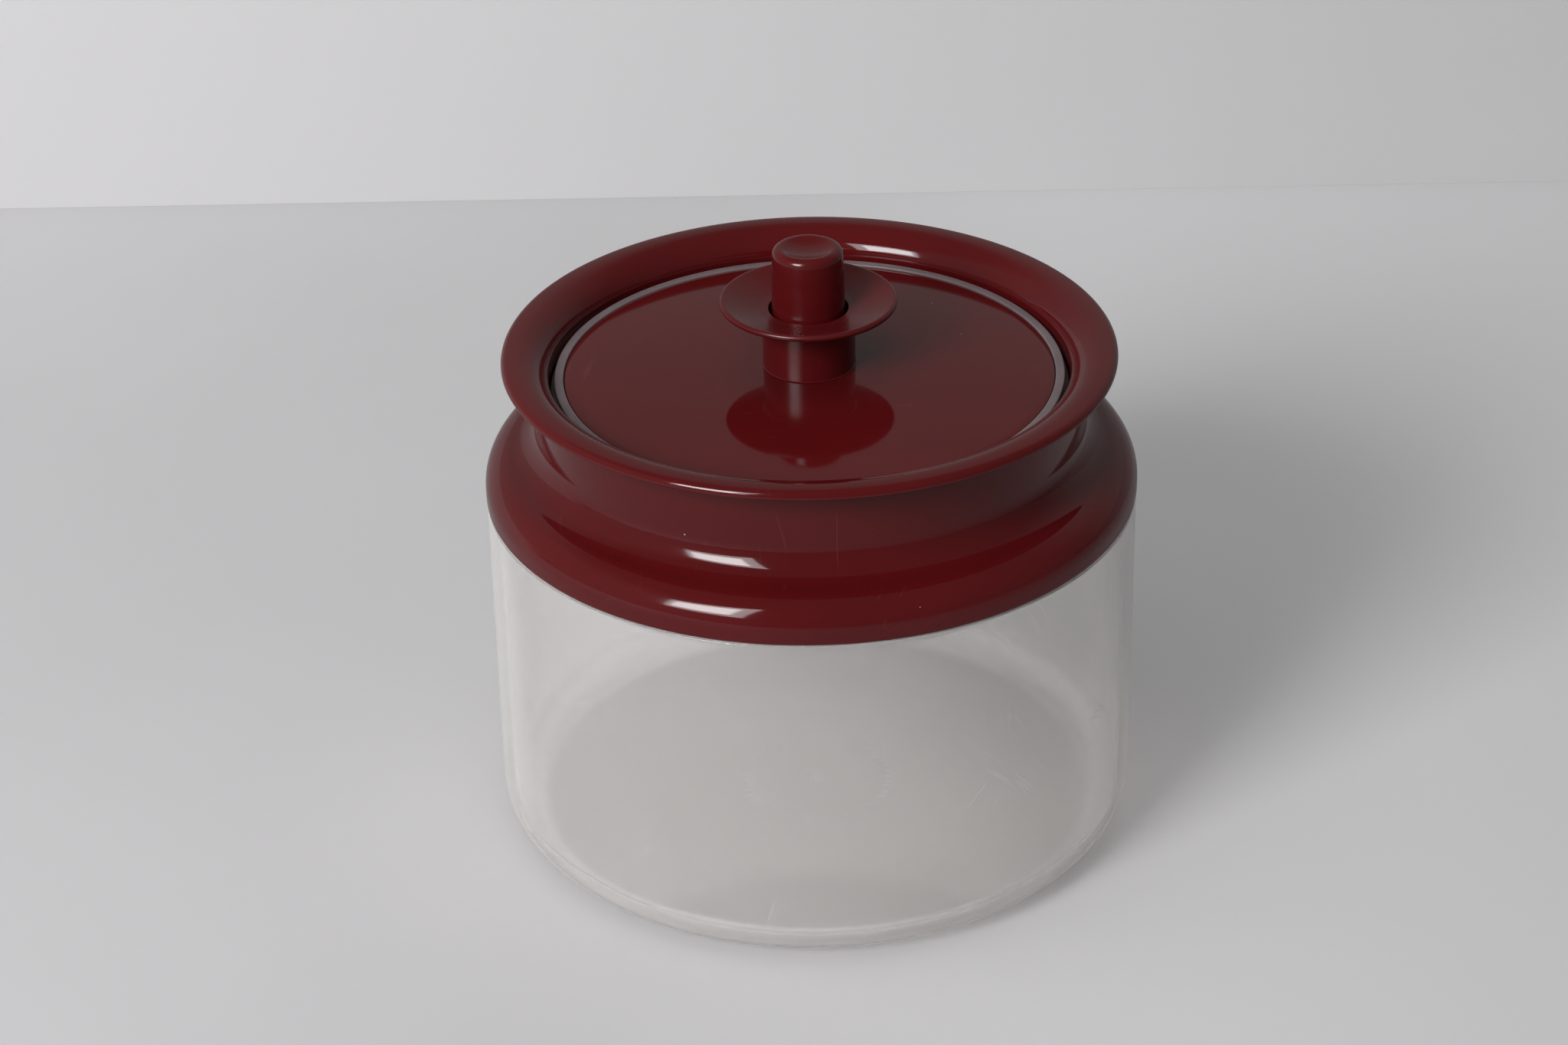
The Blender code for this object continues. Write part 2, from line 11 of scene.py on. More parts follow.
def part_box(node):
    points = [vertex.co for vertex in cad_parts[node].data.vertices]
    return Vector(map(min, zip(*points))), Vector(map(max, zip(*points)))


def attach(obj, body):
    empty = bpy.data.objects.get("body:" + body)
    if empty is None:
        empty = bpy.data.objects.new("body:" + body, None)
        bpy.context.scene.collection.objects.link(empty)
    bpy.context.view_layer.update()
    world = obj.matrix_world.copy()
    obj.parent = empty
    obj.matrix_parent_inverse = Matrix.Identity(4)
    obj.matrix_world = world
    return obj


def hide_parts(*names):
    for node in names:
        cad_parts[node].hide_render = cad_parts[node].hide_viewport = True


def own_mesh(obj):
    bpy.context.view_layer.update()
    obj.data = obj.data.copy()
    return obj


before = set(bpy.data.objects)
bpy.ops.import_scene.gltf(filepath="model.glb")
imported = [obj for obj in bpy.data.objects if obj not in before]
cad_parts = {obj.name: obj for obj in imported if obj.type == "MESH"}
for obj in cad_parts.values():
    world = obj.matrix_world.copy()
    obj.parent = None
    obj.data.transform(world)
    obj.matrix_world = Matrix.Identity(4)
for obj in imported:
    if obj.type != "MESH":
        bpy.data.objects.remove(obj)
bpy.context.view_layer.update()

bl_info = {
    "name": "Cookie Storage Container",
    "version": (1, 0, 0),
    "blender": (4, 5, 0),
    "location": "3D View > Sidebar > Container",
    "description": "Builds the moulded pieces of a cookie storage container over its packed model",
    "category": "Object",
}

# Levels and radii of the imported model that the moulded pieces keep
jar_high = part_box("jar_body")[1]
collar_low, collar_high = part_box("neck_collar")
ring_low, ring_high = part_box("gasket_ring")
disc_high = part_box("lid_disc")[1]
tube_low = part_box("knob_tube")[0]
plunger_low, plunger_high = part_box("plunger")
plate_low, plate_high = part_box("pressure_plate")
spring_low, spring_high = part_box("return_spring")

BURGUNDY = (0.083, 0.0045, 0.0055)
SCUFF, DUST = (0.30, 0.16, 0.16), (0.60, 0.52, 0.50)
STEEL, DULL_STEEL = (0.58, 0.57, 0.56), (0.46, 0.45, 0.44)
POLISH, TUBE_POLISH, PLUNGER_POLISH = (0.055, 0.10), (0.20, 0.28), (0.14, 0.20)
SMOOTH_ANGLE = math.radians(32)
SHADING_EDGE = 0.0005
ON_AXIS = 1e-7

# Sizes that several pieces share, in metres
PRESS = 0.0040
GAP = 0.0003
SMALL_ROUND = 0.0003
RIM_ROUND = 0.0004
POST_BORE = 0.0043
SCREW_BORE = 0.0018
PAD_MARGIN = 0.0006

# Jar and collar; the rise from the foot ring is in shares of its width and of its height
HOLLOW_SHARES = ((1.0, 1.0), (0.7, 0.84), (0.3, 0.16))
RIB_INSET = 0.0001
RIB_EVERY = 4
NOSE_DROP = 0.00002
LAP_SHARE = 0.30

# Lid disc and soft ring
DOME_STEPS = 28
SPIGOT_WALL = 0.0018
GUIDE_WALL = 0.0027
GUIDE_DEPTH = 0.0050
DISC_RIB = 0.0020
DISC_RIB_SHARE = 0.60
EDGE_RUN = 0.0002
EDGE_FALL = 0.0001
RING_SETBACK = 0.0039
RING_FLANK = 0.0012

# Plunger, pressure plate and spring
POST_RADIUS = 0.0040
PILOT_DEPTH = 0.0120
PILOT_TIP = 0.0138
SKIRT_MARGIN = 0.0006
PLATE_THICKNESS = 0.0024
PLATE_ROUND = 0.0006
PLATE_RIB_DROP = 0.0018
PLATE_RIB_SHARE = 0.62
PLATE_RIB_HALF = 0.0010
PLATE_BOSS = 0.0070
CLOSED_SHARE = 0.05
WIRE_SIDES = 12
COIL_STEPS = 28

# Clear plastic: the lamp light that it passes, the milk of its outline and the greys of its floor, partly the thick
# floor's own tint and partly painted shade of the table under it, darker on the lamp-lit left
WALL_PASS, CORNER_PASS = (0.71, 0.70, 0.69), (0.92, 0.91, 0.90)
RIM_PASS, MILK = (0.97, 0.965, 0.96, 1.0), (0.80, 0.79, 0.78, 1.0)
FLOOR_TINT_AND_SHADE_RIGHT, FLOOR_TINT_AND_SHADE_LEFT = 0.84, 0.73

# Where the materials change, as ranges of radius or of height
FLOOR_EDGE = (0.080, 0.086)
FLOOR_TOP = (0.004, 0.006)
CORNER_REACH = (0.083, 0.089)
CORNER_TOP = (0.007, 0.014)
SIDE_TO_SIDE = (-0.085, 0.085)
UNDERSIDE = (0.0008, 0.0014)
RIB_FADE = (0.0011, 0.0015)
GATE_FADE = (0.0012, 0.0022)
LINE_FOOT = (0.121, 0.126)
LINE_HEAD = (0.137, 0.140)
LINE_BEARING = 0.085
LINE_HALF = 0.0016

# Table, wall and lamps; each lamp has its place, turn in degrees, size, power, colour and whether gloss shows it
STAGE_REACH = 4.0
TABLE_DROP = 0.00015
# Range of X over which the table is painted lighter towards the right, as painted light against the lamps' fall-off
TABLE_PAINTED_LIGHT = (-0.08, 0.14)
WINDOW = ((-1.12, -1.302, 1.189), (72.2, 14.0, 5.5))
DAYLIGHT, WHITE = (1.0, 0.985, 1.0), (1.0, 1.0, 1.0)
LAMPS = {
    "window": (*WINDOW, (0.96, 0.62), 32.0, DAYLIGHT, True),
    "window_edge": (*WINDOW, (1.28, 0.94), 22.0, DAYLIGHT, True),
    "fill": ((-0.4, -0.4, 2.4), (-9.5, -9.5, 0.0), (2.0, 2.0), 15.0, WHITE, False),
}
SENSOR_WIDTH = 36.0
NEAREST = 0.01

# The room, with the ranges of direction where gloss shows it lighter
ROOM_BEHIND, ROOM_LEFT, ROOM_LOW = (0.1, 0.7), (-0.75, -0.05), (0.60, 0.85)
GLOSS_DIM, GLOSS_LIT = (0.11, 0.106, 0.102), (0.245, 0.24, 0.236)
ROOM_LIGHT, BACKDROP = (0.25, 0.25, 0.25), (0.95, 0.95, 0.95)


def length(name, description, default):
    return FloatProperty(name=name, description=description, default=default, min=0.0, unit="LENGTH", precision=5)


def angle(name, description, degrees):
    return FloatProperty(name=name, description=description, default=math.radians(degrees), unit="ROTATION")


def share(name, description, default):
    return FloatProperty(name=name, description=description, default=default, min=0.0, max=1.0, subtype="FACTOR")


def tint(name, description, default):
    return FloatVectorProperty(
        name=name, description=description, default=default, size=3, min=0.0, max=1.0, subtype="COLOR"
    )


def faces_round(what, default):
    return IntProperty(name="Segments", description="Faces round " + what, default=default, min=24, max=512)


class JarSettings(bpy.types.PropertyGroup):
    """Sizes and finish of the clear jar"""

    wall: length("Wall", "Thickness of the jar's wall", 0.0030)
    floor: length("Floor", "Thickness of the jar's floor", 0.0030)
    corner: length("Corner radius", "Outside radius of the base corner", 0.0125)
    step_height: length("Step height", "Height of the step that the collar's skirt stops at", 0.1059)
    rim_wall: length("Rim wall", "Thickness of the rim inside the skirt, measured from the bore", 0.0014)
    foot_width: length("Foot width", "Width of the ring that the jar stands on", 0.0030)
    hollow: length("Hollow", "Width of the gentle rise from the foot ring to the middle of the base", 0.0300)
    rib_radius: length("Rib circle", "Radius of the circle of small ribs under the base", 0.0220)
    rib_length: length("Rib length", "Length of the small ribs", 0.0022)
    rib_height: length("Rib height", "Height of the small ribs", 0.00040)
    foot_recess: length("Foot recess", "How far the middle of the base is raised", 0.0006)
    gate_radius: length("Gate radius", "Radius of the moulding mark in the middle", 0.0016)
    gate_height: length("Gate height", "Height of the moulding mark", 0.0004)
    plastic: tint("Plastic", "Colour that the clear plastic lets through", (0.955, 0.945, 0.935))
    segments: faces_round("the jar", 192)


class CollarSettings(bpy.types.PropertyGroup):
    """Sizes and finish of the neck collar"""

    bore: length("Bore radius", "Radius of the straight bore", 0.0752)
    waist: length("Waist radius", "Outer radius of the waist", 0.0791)
    wall: length("Wall", "Thickness of the collar's shoulder", 0.0026)
    band: length("Skirt band", "Straight height of the skirt under the bulge", 0.00365)
    skirt_edge: length("Skirt edge radius", "Radius on the skirt's lower edge", 0.0010)
    shoulder_slope: angle("Shoulder slope", "Slope of the shoulder between its two rounds", 10)
    shoulder_share: share("Shoulder round", "Radius of the shoulder's rounds as a share of its width", 0.59)
    lip_radius: length("Lip radius", "Outer radius of the rolled lip", 0.0888)
    lip_rise: length("Lip rise", "How far the lip's crest stands above the packed collar", 0.0006)
    lip_round: length("Lip round", "Radius on the lip's upper edge", 0.0020)
    lip_corner: length("Lip corner", "Radius on the lip's lower edge", 0.0004)
    outer_crown: length("Outer crown", "Radius of the lip's upper face outside its crest", 0.0180)
    outer_slope: angle("Outer slope", "Slope of the upper face where it meets the lip's edge", 8)
    inner_crown: length("Inner crown", "Radius of the lip's upper face inside its crest", 0.0100)
    inner_slope: angle("Inner slope", "Slope of the upper face where it turns into the throat", 49.8)
    throat: length("Throat radius", "Radius of the throat between the upper face and the bore", 0.0080)
    throat_slope: angle("Throat slope", "Slope of the throat where it closes on the bore", 70.2)
    underlip_slope: angle("Under-lip slope", "Slope of the lip's lower face", 7)
    underlip: length("Under-lip radius", "Radius between the waist and the lip", 0.0040)
    ledge_radius: length("Ledge radius", "Inner radius of the ledge that the lid rests on", 0.0736)
    ledge_drop: length("Ledge depth", "Depth of the ledge below the lip", 0.0190)
    ledge_thickness: length("Ledge thickness", "Thickness of the ledge", 0.0020)
    plastic: tint("Plastic", "Colour of the moulded plastic", BURGUNDY)
    segments: faces_round("the collar", 256)


class LidSettings(bpy.types.PropertyGroup):
    """Sizes and finish of the lid disc, the soft ring and the pressure plate"""

    disc_thickness: length("Disc thickness", "Thickness of the domed disc", 0.0024)
    dome_power: FloatProperty(
        name="Dome power", description="Power of the dome's fall; 2 is a ball", default=2.3, min=1.5, max=5.0
    )
    disc_edge: length("Disc edge radius", "Radius on the disc's upper edge", 0.0004)
    lip_outer: length("Ring lip outer radius", "Outer radius of the soft ring's upper lip", 0.0737)
    lip_gap: length("Ring gap", "Gap between the disc's edge and the soft ring's lip", 0.0001)
    lip_round: length("Ring lip round", "Radius on the upper edges of the soft ring's lip", 0.00045)
    web_height: length("Web height", "Height of the soft ring's web below the disc", 0.0081)
    bulge_share: share("Bulge height", "Height of the sealing bulge as a share of the web", 0.92)
    foot_setback: length("Foot setback", "How far the ring's foot stands back from its bulge", 0.0012)
    rubber: tint("Rubber", "Colour of the soft ring", (0.160, 0.126, 0.130))
    segments: faces_round("the lid's pieces", 192)


class KnobSettings(bpy.types.PropertyGroup):
    """Sizes of the tube, its saucer and the plunger"""

    tube_radius: length("Tube radius", "Outer radius of the tube", 0.01335)
    tube_wall: length("Tube wall", "Thickness of the tube's wall", 0.00195)
    mouth_height: length("Mouth height", "Height of the tube's mouth above its foot", 0.01750)
    bead: length("Foot bead", "Width of the small bead round the tube's foot", 0.0002)
    bead_drop: length("Foot drop", "How far the tube's foot reaches down to the disc", 0.00022)
    saucer_radius: length("Saucer radius", "Outer radius of the saucer", 0.02525)
    saucer_root: angle("Saucer root slope", "Slope of the saucer's upper face beside the tube's mouth", 13)
    saucer_slope: angle("Saucer rim slope", "Slope of the saucer's upper face at its rim", 17)
    saucer_thickness: length("Saucer thickness", "Thickness of the saucer", 0.0019)
    saucer_fillet: length("Saucer fillet", "Radius between the tube and the saucer's underside", 0.0020)
    plunger_top: length("Plunger top radius", "Radius of the plunger at its top", 0.01015)
    plunger_wall: length("Plunger wall", "Thickness of the plunger's wall", 0.0015)
    plunger_cap: length("Plunger cap", "Thickness of the plunger's cap", 0.0020)
    plunger_base: length("Plunger base radius", "Radius of the plunger at its lower edge", 0.0107)
    crest: length("Crest radius", "Radius of the plunger's upper rim", 0.0022)
    dish_slope: angle("Dish slope", "Slope of the thumb dish at its edge", 21)
    wire: length("Spring wire", "Radius of the spring's wire", 0.0005)
    turns: IntProperty(name="Spring turns", description="Turns of the spring", default=9, min=3, max=40)
    segments: faces_round("the knob's pieces", 128)


class ViewSettings(bpy.types.PropertyGroup):
    """Camera, lamps and table"""

    focal_length: FloatProperty(
        name="Focal length", description="Lens, in millimetres on a 36 mm wide sensor", default=87.89, min=1.0
    )
    camera_back: length("Camera distance", "Distance of the camera in front of the jar's axis", 0.985541)
    camera_height: length("Camera height", "Height of the camera above the table", 0.645687)
    heading: angle("Heading", "Turn of the camera away from +Y", -0.4811923)
    tilt: angle("Tilt", "How far the camera looks down", 29.3412960)
    roll: angle("Roll", "Turn of the camera about its own axis", -1.2044289)
    table_colour: tint("Table", "Colour of the table", (0.530, 0.527, 0.532))
    wall_colour: tint("Wall", "Colour of the wall behind the table", (0.585, 0.583, 0.586))
    wall_distance: length("Wall distance", "Distance of the wall behind the jar's axis", 0.4345)
    wall_height: length("Wall height", "Height of the pale wall behind the table", 0.24)


def spin(shape, geometry, centre, axis, turn, steps, rise=0.0, closed=False):
    """Spins part of a mesh about an axis through a centre and returns what it ends on."""
    return bmesh.ops.spin(
        shape,
        geom=geometry,
        cent=centre,
        axis=axis,
        dvec=(0.0, 0.0, rise / steps),
        angle=turn,
        steps=steps,
        use_merge=closed,
        use_duplicate=False,
    )["geom_last"]


def finished_mesh(shape, name):
    """Writes a shape to a new mesh and frees it."""
    mesh = bpy.data.meshes.new(name)
    shape.to_mesh(mesh)
    shape.free()
    return mesh


class Outline:
    """Half the section of a turned piece, drawn as straight runs and arcs in the XZ plane."""

    def __init__(self, radius, height):
        self.shape = bmesh.new()
        self.first = self.shape.verts.new((radius, 0.0, height))
        self.tip = self.first

    def extend(self, place):
        """A straight run from the last point to a place."""
        made = bmesh.ops.extrude_vert_indiv(self.shape, verts=[self.tip])
        self.tip = made["verts"][0]
        self.tip.co = place

    def support(self, place):
        """Two points of a long run, close to its ends, which keep the shading flat between them."""
        start = self.tip.co.copy()
        run = (place - start).length
        if run > 5 * SHADING_EDGE:
            self.extend(start.lerp(place, SHADING_EDGE / run))
            self.extend(start.lerp(place, 1.0 - SHADING_EDGE / run))

    def to(self, *points):
        """Straight runs through points of radius and height."""
        for radius, height in points:
            place = Vector((radius, 0.0, height))
            self.support(place)
            self.extend(place)

    def turn(self, centre, degrees, steps):
        """An arc about a centre from the last point; a positive turn is anticlockwise, with +X right and +Z up."""
        middle = (centre[0], 0.0, centre[1])
        made = spin(self.shape, [self.tip], middle, (0.0, -1.0, 0.0), math.radians(degrees), steps)
        self.tip = [item for item in made if isinstance(item, bmesh.types.BMVert)][0]

    def spun(self, name, segments):
        """Closes the outline, spins it round +Z and returns the mesh."""
        if self.tip.co.x > ON_AXIS:
            self.support(self.first.co)
        self.shape.edges.new((self.tip, self.first))
        on_axis = [edge for edge in self.shape.edges if all(abs(vert.co.x) < ON_AXIS for vert in edge.verts)]
        bmesh.ops.delete(self.shape, geom=on_axis, context="EDGES_FACES")
        for vert in self.shape.verts:
            if abs(vert.co.x) < ON_AXIS:
                vert.co.x = 0.0
        whole = self.shape.verts[:] + self.shape.edges[:]
        spin(self.shape, whole, (0.0, 0.0, 0.0), (0.0, 0.0, 1.0), math.tau, segments, closed=True)
        poles = [vert for vert in self.shape.verts if vert.co.xy.length < ON_AXIS]
        bmesh.ops.remove_doubles(self.shape, verts=poles, dist=10 * ON_AXIS)
        bmesh.ops.recalc_face_normals(self.shape, faces=self.shape.faces[:])
        return finished_mesh(self.shape, name)


def smooth_piece(name, mesh, material, body, slot, *nodes):
    """Adds a finished mesh as a piece that rides on a body and stands for its nodes."""
    mesh.shade_smooth()
    mesh.set_sharp_from_angle(angle=SMOOTH_ANGLE)
    mesh.materials.append(material)
    piece = bpy.data.objects.new(name, mesh)
    bpy.context.scene.collection.objects.link(piece)
    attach(piece, body)
    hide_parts(*nodes)
    return piece


def red_piece(mesh, body, node, *finish, **marks):
    """Adds a piece of the dark red plastic, in the collar's colour, with its own polish and marks."""
    colour = tuple(bpy.context.scene.container_collar.plastic)
    plastic = burgundy_plastic(mesh.name + "_plastic", colour, *finish, **marks)
    smooth_piece(mesh.name, mesh, plastic, body, "burgundy_plastic", node)


def on_circle(centre, radius, degrees):
    """The point of a circle at an angle from +X."""
    return (
        centre[0] + radius * math.cos(math.radians(degrees)),
        centre[1] + radius * math.sin(math.radians(degrees)),
    )


def turn_and_move(shape, turn, place):
    """Turns a flat shape about X and moves it to its place."""
    bmesh.ops.rotate(shape, cent=(0.0, 0.0, 0.0), matrix=Matrix.Rotation(turn, 3, "X"), verts=shape.verts)
    bmesh.ops.translate(shape, vec=place, verts=shape.verts)


# Materials


def new_material(name):
    """A material with its Principled BSDF, ready for nodes."""
    material = bpy.data.materials.new(name)
    material.use_nodes = True
    return material, material.node_tree.nodes["Principled BSDF"]


def set_values(node, **values):
    """Sets a node's input sockets; an underscore stands for a space."""
    for key, value in values.items():
        node.inputs[key.replace("_", " ")].default_value = value


def feed(tree, socket, value):
    """Links a socket to another node's output, or sets it to a value."""
    if isinstance(value, bpy.types.NodeSocket):
        tree.links.new(value, socket)
    else:
        socket.default_value = value


def maths(tree, operation, first, second=None):
    """A Math node on sockets or numbers; returns its result."""
    node = tree.nodes.new("ShaderNodeMath")
    node.operation = operation
    feed(tree, node.inputs[0], first)
    if second is not None:
        feed(tree, node.inputs[1], second)
    return node.outputs[0]


def times(tree, first, second):
    return maths(tree, "MULTIPLY", first, second)


def vector_maths(tree, operation, *values, output="Vector"):
    """A Vector Math node on sockets or vectors; returns one of its outputs."""
    node = tree.nodes.new("ShaderNodeVectorMath")
    node.operation = operation
    for socket, value in zip(node.inputs, values):
        feed(tree, socket, value)
    return node.outputs[output]


def ramp(tree, value, low, high, start=0.0, end=1.0):
    """Maps a value smoothly from low..high to start..end."""
    node = tree.nodes.new("ShaderNodeMapRange")
    node.interpolation_type = "SMOOTHSTEP"
    tree.links.new(value, node.inputs["Value"])
    for key, number in (("From Min", low), ("From Max", high), ("To Min", start), ("To Max", end)):
        node.inputs[key].default_value = number
    return node.outputs["Result"]


def object_point(tree, scale=(1.0, 1.0, 1.0), turn=(0.0, 0.0, 0.0), place=(0.0, 0.0, 0.0)):
    """Object coordinates through a Mapping node."""
    coordinates = tree.nodes.new("ShaderNodeTexCoord")
    mapping = tree.nodes.new("ShaderNodeMapping")
    set_values(mapping, Location=place, Rotation=turn, Scale=scale)
    tree.links.new(coordinates.outputs["Object"], mapping.inputs["Vector"])
    return mapping.outputs["Vector"]


def noise(tree, vector, scale, detail=2.0, output="Fac"):
    """A Noise Texture whose scale is a number or a socket; returns one of its outputs."""
    node = tree.nodes.new("ShaderNodeTexNoise")
    for key, value in (("Vector", vector), ("Scale", scale), ("Detail", detail)):
        feed(tree, node.inputs[key], value)
    return node.outputs[output]


def axes(tree, vector=None):
    """The X, Y and Z of a vector, or of the object point."""
    node = tree.nodes.new("ShaderNodeSeparateXYZ")
    tree.links.new(vector or object_point(tree), node.inputs["Vector"])
    return node.outputs


def scaled(colour, factor):
    return tuple(channel * factor for channel in colour)


def mix_shader(tree, factor, first, second):
    """Mixes two shader nodes by a number or a socket."""
    node = tree.nodes.new("ShaderNodeMixShader")
    for socket, value in zip(node.inputs, (factor, first.outputs[0], second.outputs[0])):
        feed(tree, socket, value)
    return node


def set_surface(tree, shader):
    tree.links.new(shader.outputs[0], tree.nodes["Material Output"].inputs["Surface"])


def start_group(name, inputs, result):
    """A new shader node group with number sockets; returns its tree, its inputs and its result's sockets."""
    tree = bpy.data.node_groups.new(name, "ShaderNodeTree")
    for socket, default in inputs.items():
        made = tree.interface.new_socket(socket, in_out="INPUT", socket_type="NodeSocketFloat")
        made.default_value = default
    tree.interface.new_socket(result, in_out="OUTPUT", socket_type="NodeSocketFloat")
    return tree, tree.nodes.new("NodeGroupInput").outputs, tree.nodes.new("NodeGroupOutput").inputs


def place_group(tree, group, **values):
    node = tree.nodes.new("ShaderNodeGroup")
    node.node_tree = group
    set_values(node, **values)
    return node


def dust_group():
    """Small pale specks that lie here and there."""
    tree, given, out = start_group("dust_specks", {"Cell size": 0.012, "Speck size": 0.0003, "Share": 0.1}, "Mask")
    cells = tree.nodes.new("ShaderNodeTexVoronoi")
    tree.links.new(object_point(tree, place=(3.1, 1.7, 5.3)), cells.inputs["Vector"])
    tree.links.new(maths(tree, "DIVIDE", 1.0, given["Cell size"]), cells.inputs["Scale"])
    parts = tree.nodes.new("ShaderNodeSeparateColor")
    tree.links.new(cells.outputs["Color"], parts.inputs["Color"])
    reach = times(tree, cells.outputs["Distance"], given["Cell size"])
    wide = times(tree, given["Speck size"], maths(tree, "ADD", parts.outputs["Green"], 0.5))
    near = maths(tree, "LESS_THAN", reach, wide)
    chosen = maths(tree, "LESS_THAN", parts.outputs["Red"], given["Share"])
    tree.links.new(times(tree, near, chosen), out["Mask"])
    return tree


def scratch_group():
    """Hairline scratches in three directions, in patches."""
    tree, given, out = start_group("hairline_scratches", {"Fineness": 900.0, "Share": 0.02}, "Mask")
    total = None
    for turn, place in (((0.3, 0.2, 0.4), 0.0), ((-0.5, 0.9, 1.3), 2.0), ((1.2, -0.4, 2.3), 5.0)):
        bend = noise(tree, object_point(tree, place=(place, 0.0, 0.0)), 9.0, 1.0, "Color")
        turned = object_point(tree, turn=turn, place=(place, place, 0.0))
        shift = vector_maths(tree, "MULTIPLY_ADD", bend, (0.03, 0.03, 0.03), turned)
        stretch = vector_maths(tree, "MULTIPLY", shift, (1.0, 0.02, 0.02))
        streak = noise(tree, stretch, given["Fineness"], 1.0)
        edge = maths(tree, "ABSOLUTE", maths(tree, "SUBTRACT", streak, 0.5))
        line = maths(tree, "LESS_THAN", edge, given["Share"])
        patch = ramp(tree, noise(tree, object_point(tree, place=(place, 4.0, 1.0)), 26.0), 0.56, 0.70)
        line = times(tree, line, patch)
        total = line if total is None else maths(tree, "MAXIMUM", total, line)
    tree.links.new(total, out["Mask"])
    return tree


def ripple_group():
    """The slight waviness and sink of a moulded surface, as a height."""
    inputs = {"Wave scale": 35.0, "Grain scale": 700.0, "Grain share": 0.05}
    tree, given, out = start_group("moulding_ripple", inputs, "Height")
    point = object_point(tree)
    wave = noise(tree, point, given["Wave scale"], 1.0)
    grain = noise(tree, point, given["Grain scale"], 2.0)
    fine = times(tree, grain, given["Grain share"])
    tree.links.new(maths(tree, "ADD", wave, fine), out["Height"])
    return tree


def shared_groups():
    """The node groups that the materials share, made once."""
    makers = {"dust_specks": dust_group, "hairline_scratches": scratch_group, "moulding_ripple": ripple_group}
    return {name: bpy.data.node_groups.get(name) or make() for name, make in makers.items()}


def moulded_bump(tree, shader, strength, distance, **values):
    """Lays the moulding ripple on a shader's normal."""
    ripple = place_group(tree, shared_groups()["moulding_ripple"], **values)
    bump = tree.nodes.new("ShaderNodeBump")
    set_values(bump, Strength=strength, Distance=distance)
    tree.links.new(ripple.outputs["Height"], bump.inputs["Height"])
    tree.links.new(bump.outputs["Normal"], shader.inputs["Normal"])


def mix_colour(tree, factor, first, second):
    """Mixes two colours, each a tuple or a socket, by a number or a socket."""
    node = tree.nodes.new("ShaderNodeMix")
    node.data_type = "RGBA"
    for key, value in (("Factor_Float", factor), ("A_Color", first), ("B_Color", second)):
        socket = next(item for item in node.inputs if item.identifier == key)
        feed(tree, socket, (*value, 1.0) if isinstance(value, tuple) else value)
    return next(item for item in node.outputs if item.identifier == "Result_Color")


def parting_line(tree):
    """A fine upright line in the waist, where the two halves of the mould met."""
    where = axes(tree)
    bearing = maths(tree, "ARCTAN2", where["X"], times(tree, where["Y"], -1.0))
    near = maths(tree, "LESS_THAN", maths(tree, "ABSOLUTE", maths(tree, "SUBTRACT", bearing, LINE_BEARING)), LINE_HALF)
    low = ramp(tree, where["Z"], *LINE_FOOT)
    high = ramp(tree, where["Z"], *LINE_HEAD, 1.0, 0.0)
    return times(tree, near, times(tree, low, high))


def burgundy_plastic(name, colour, polish=POLISH, parted=False):
    """Glossy dark red moulded plastic, with faint marks of use and a little dust."""
    material, shader = new_material(name)
    tree = material.node_tree
    groups = shared_groups()
    dust = place_group(tree, groups["dust_specks"], Cell_size=0.008, Speck_size=0.00022, Share=0.16)
    lines = place_group(tree, groups["hairline_scratches"], Fineness=420.0, Share=0.0022)
    cloud = noise(tree, object_point(tree), 14.0, detail=3.0)
    swirl = mix_colour(tree, ramp(tree, cloud, 0.35, 0.65), colour, scaled(colour, 0.86))
    scuffed = mix_colour(tree, times(tree, lines.outputs["Mask"], 0.04), swirl, SCUFF)
    dusty = mix_colour(tree, times(tree, dust.outputs["Mask"], 0.55), scuffed, DUST)
    if parted:
        dusty = mix_colour(tree, times(tree, parting_line(tree), 0.08), dusty, SCUFF)
    tree.links.new(dusty, shader.inputs["Base Color"])
    smear = ramp(tree, noise(tree, object_point(tree, place=(2.0, 5.0, 1.0)), 22.0, detail=4.0), 0.3, 0.75, *polish)
    rough = maths(tree, "ADD", smear, times(tree, lines.outputs["Mask"], 0.06))
    rough = maths(tree, "ADD", rough, times(tree, dust.outputs["Mask"], 0.5))
    tree.links.new(rough, shader.inputs["Roughness"])
    moulded_bump(tree, shader, 0.10, 0.0006, Wave_scale=28.0, Grain_scale=900.0, Grain_share=0.006)
    set_values(shader, IOR=1.50, Specular_IOR_Level=0.45)
    return material


def base_marks(tree, where, radius):
    """Where the small ribs and the gate mark lie, under the base."""
    jar = bpy.context.scene.container_jar
    bearing = maths(tree, "ARCTAN2", where["Y"], where["X"])
    ribs = jar.segments // RIB_EVERY
    between = maths(tree, "GREATER_THAN", maths(tree, "SINE", times(tree, bearing, float(ribs))), 0.2)
    away = maths(tree, "ABSOLUTE", maths(tree, "SUBTRACT", radius, jar.rib_radius))
    ring = ramp(tree, away, *RIB_FADE, 0.8, 0.0)
    gate = ramp(tree, radius, *GATE_FADE, 1.0, 0.0)
    under = ramp(tree, where["Z"], *UNDERSIDE, 1.0, 0.0)
    return times(tree, under, maths(tree, "MAXIMUM", times(tree, between, ring), gate))


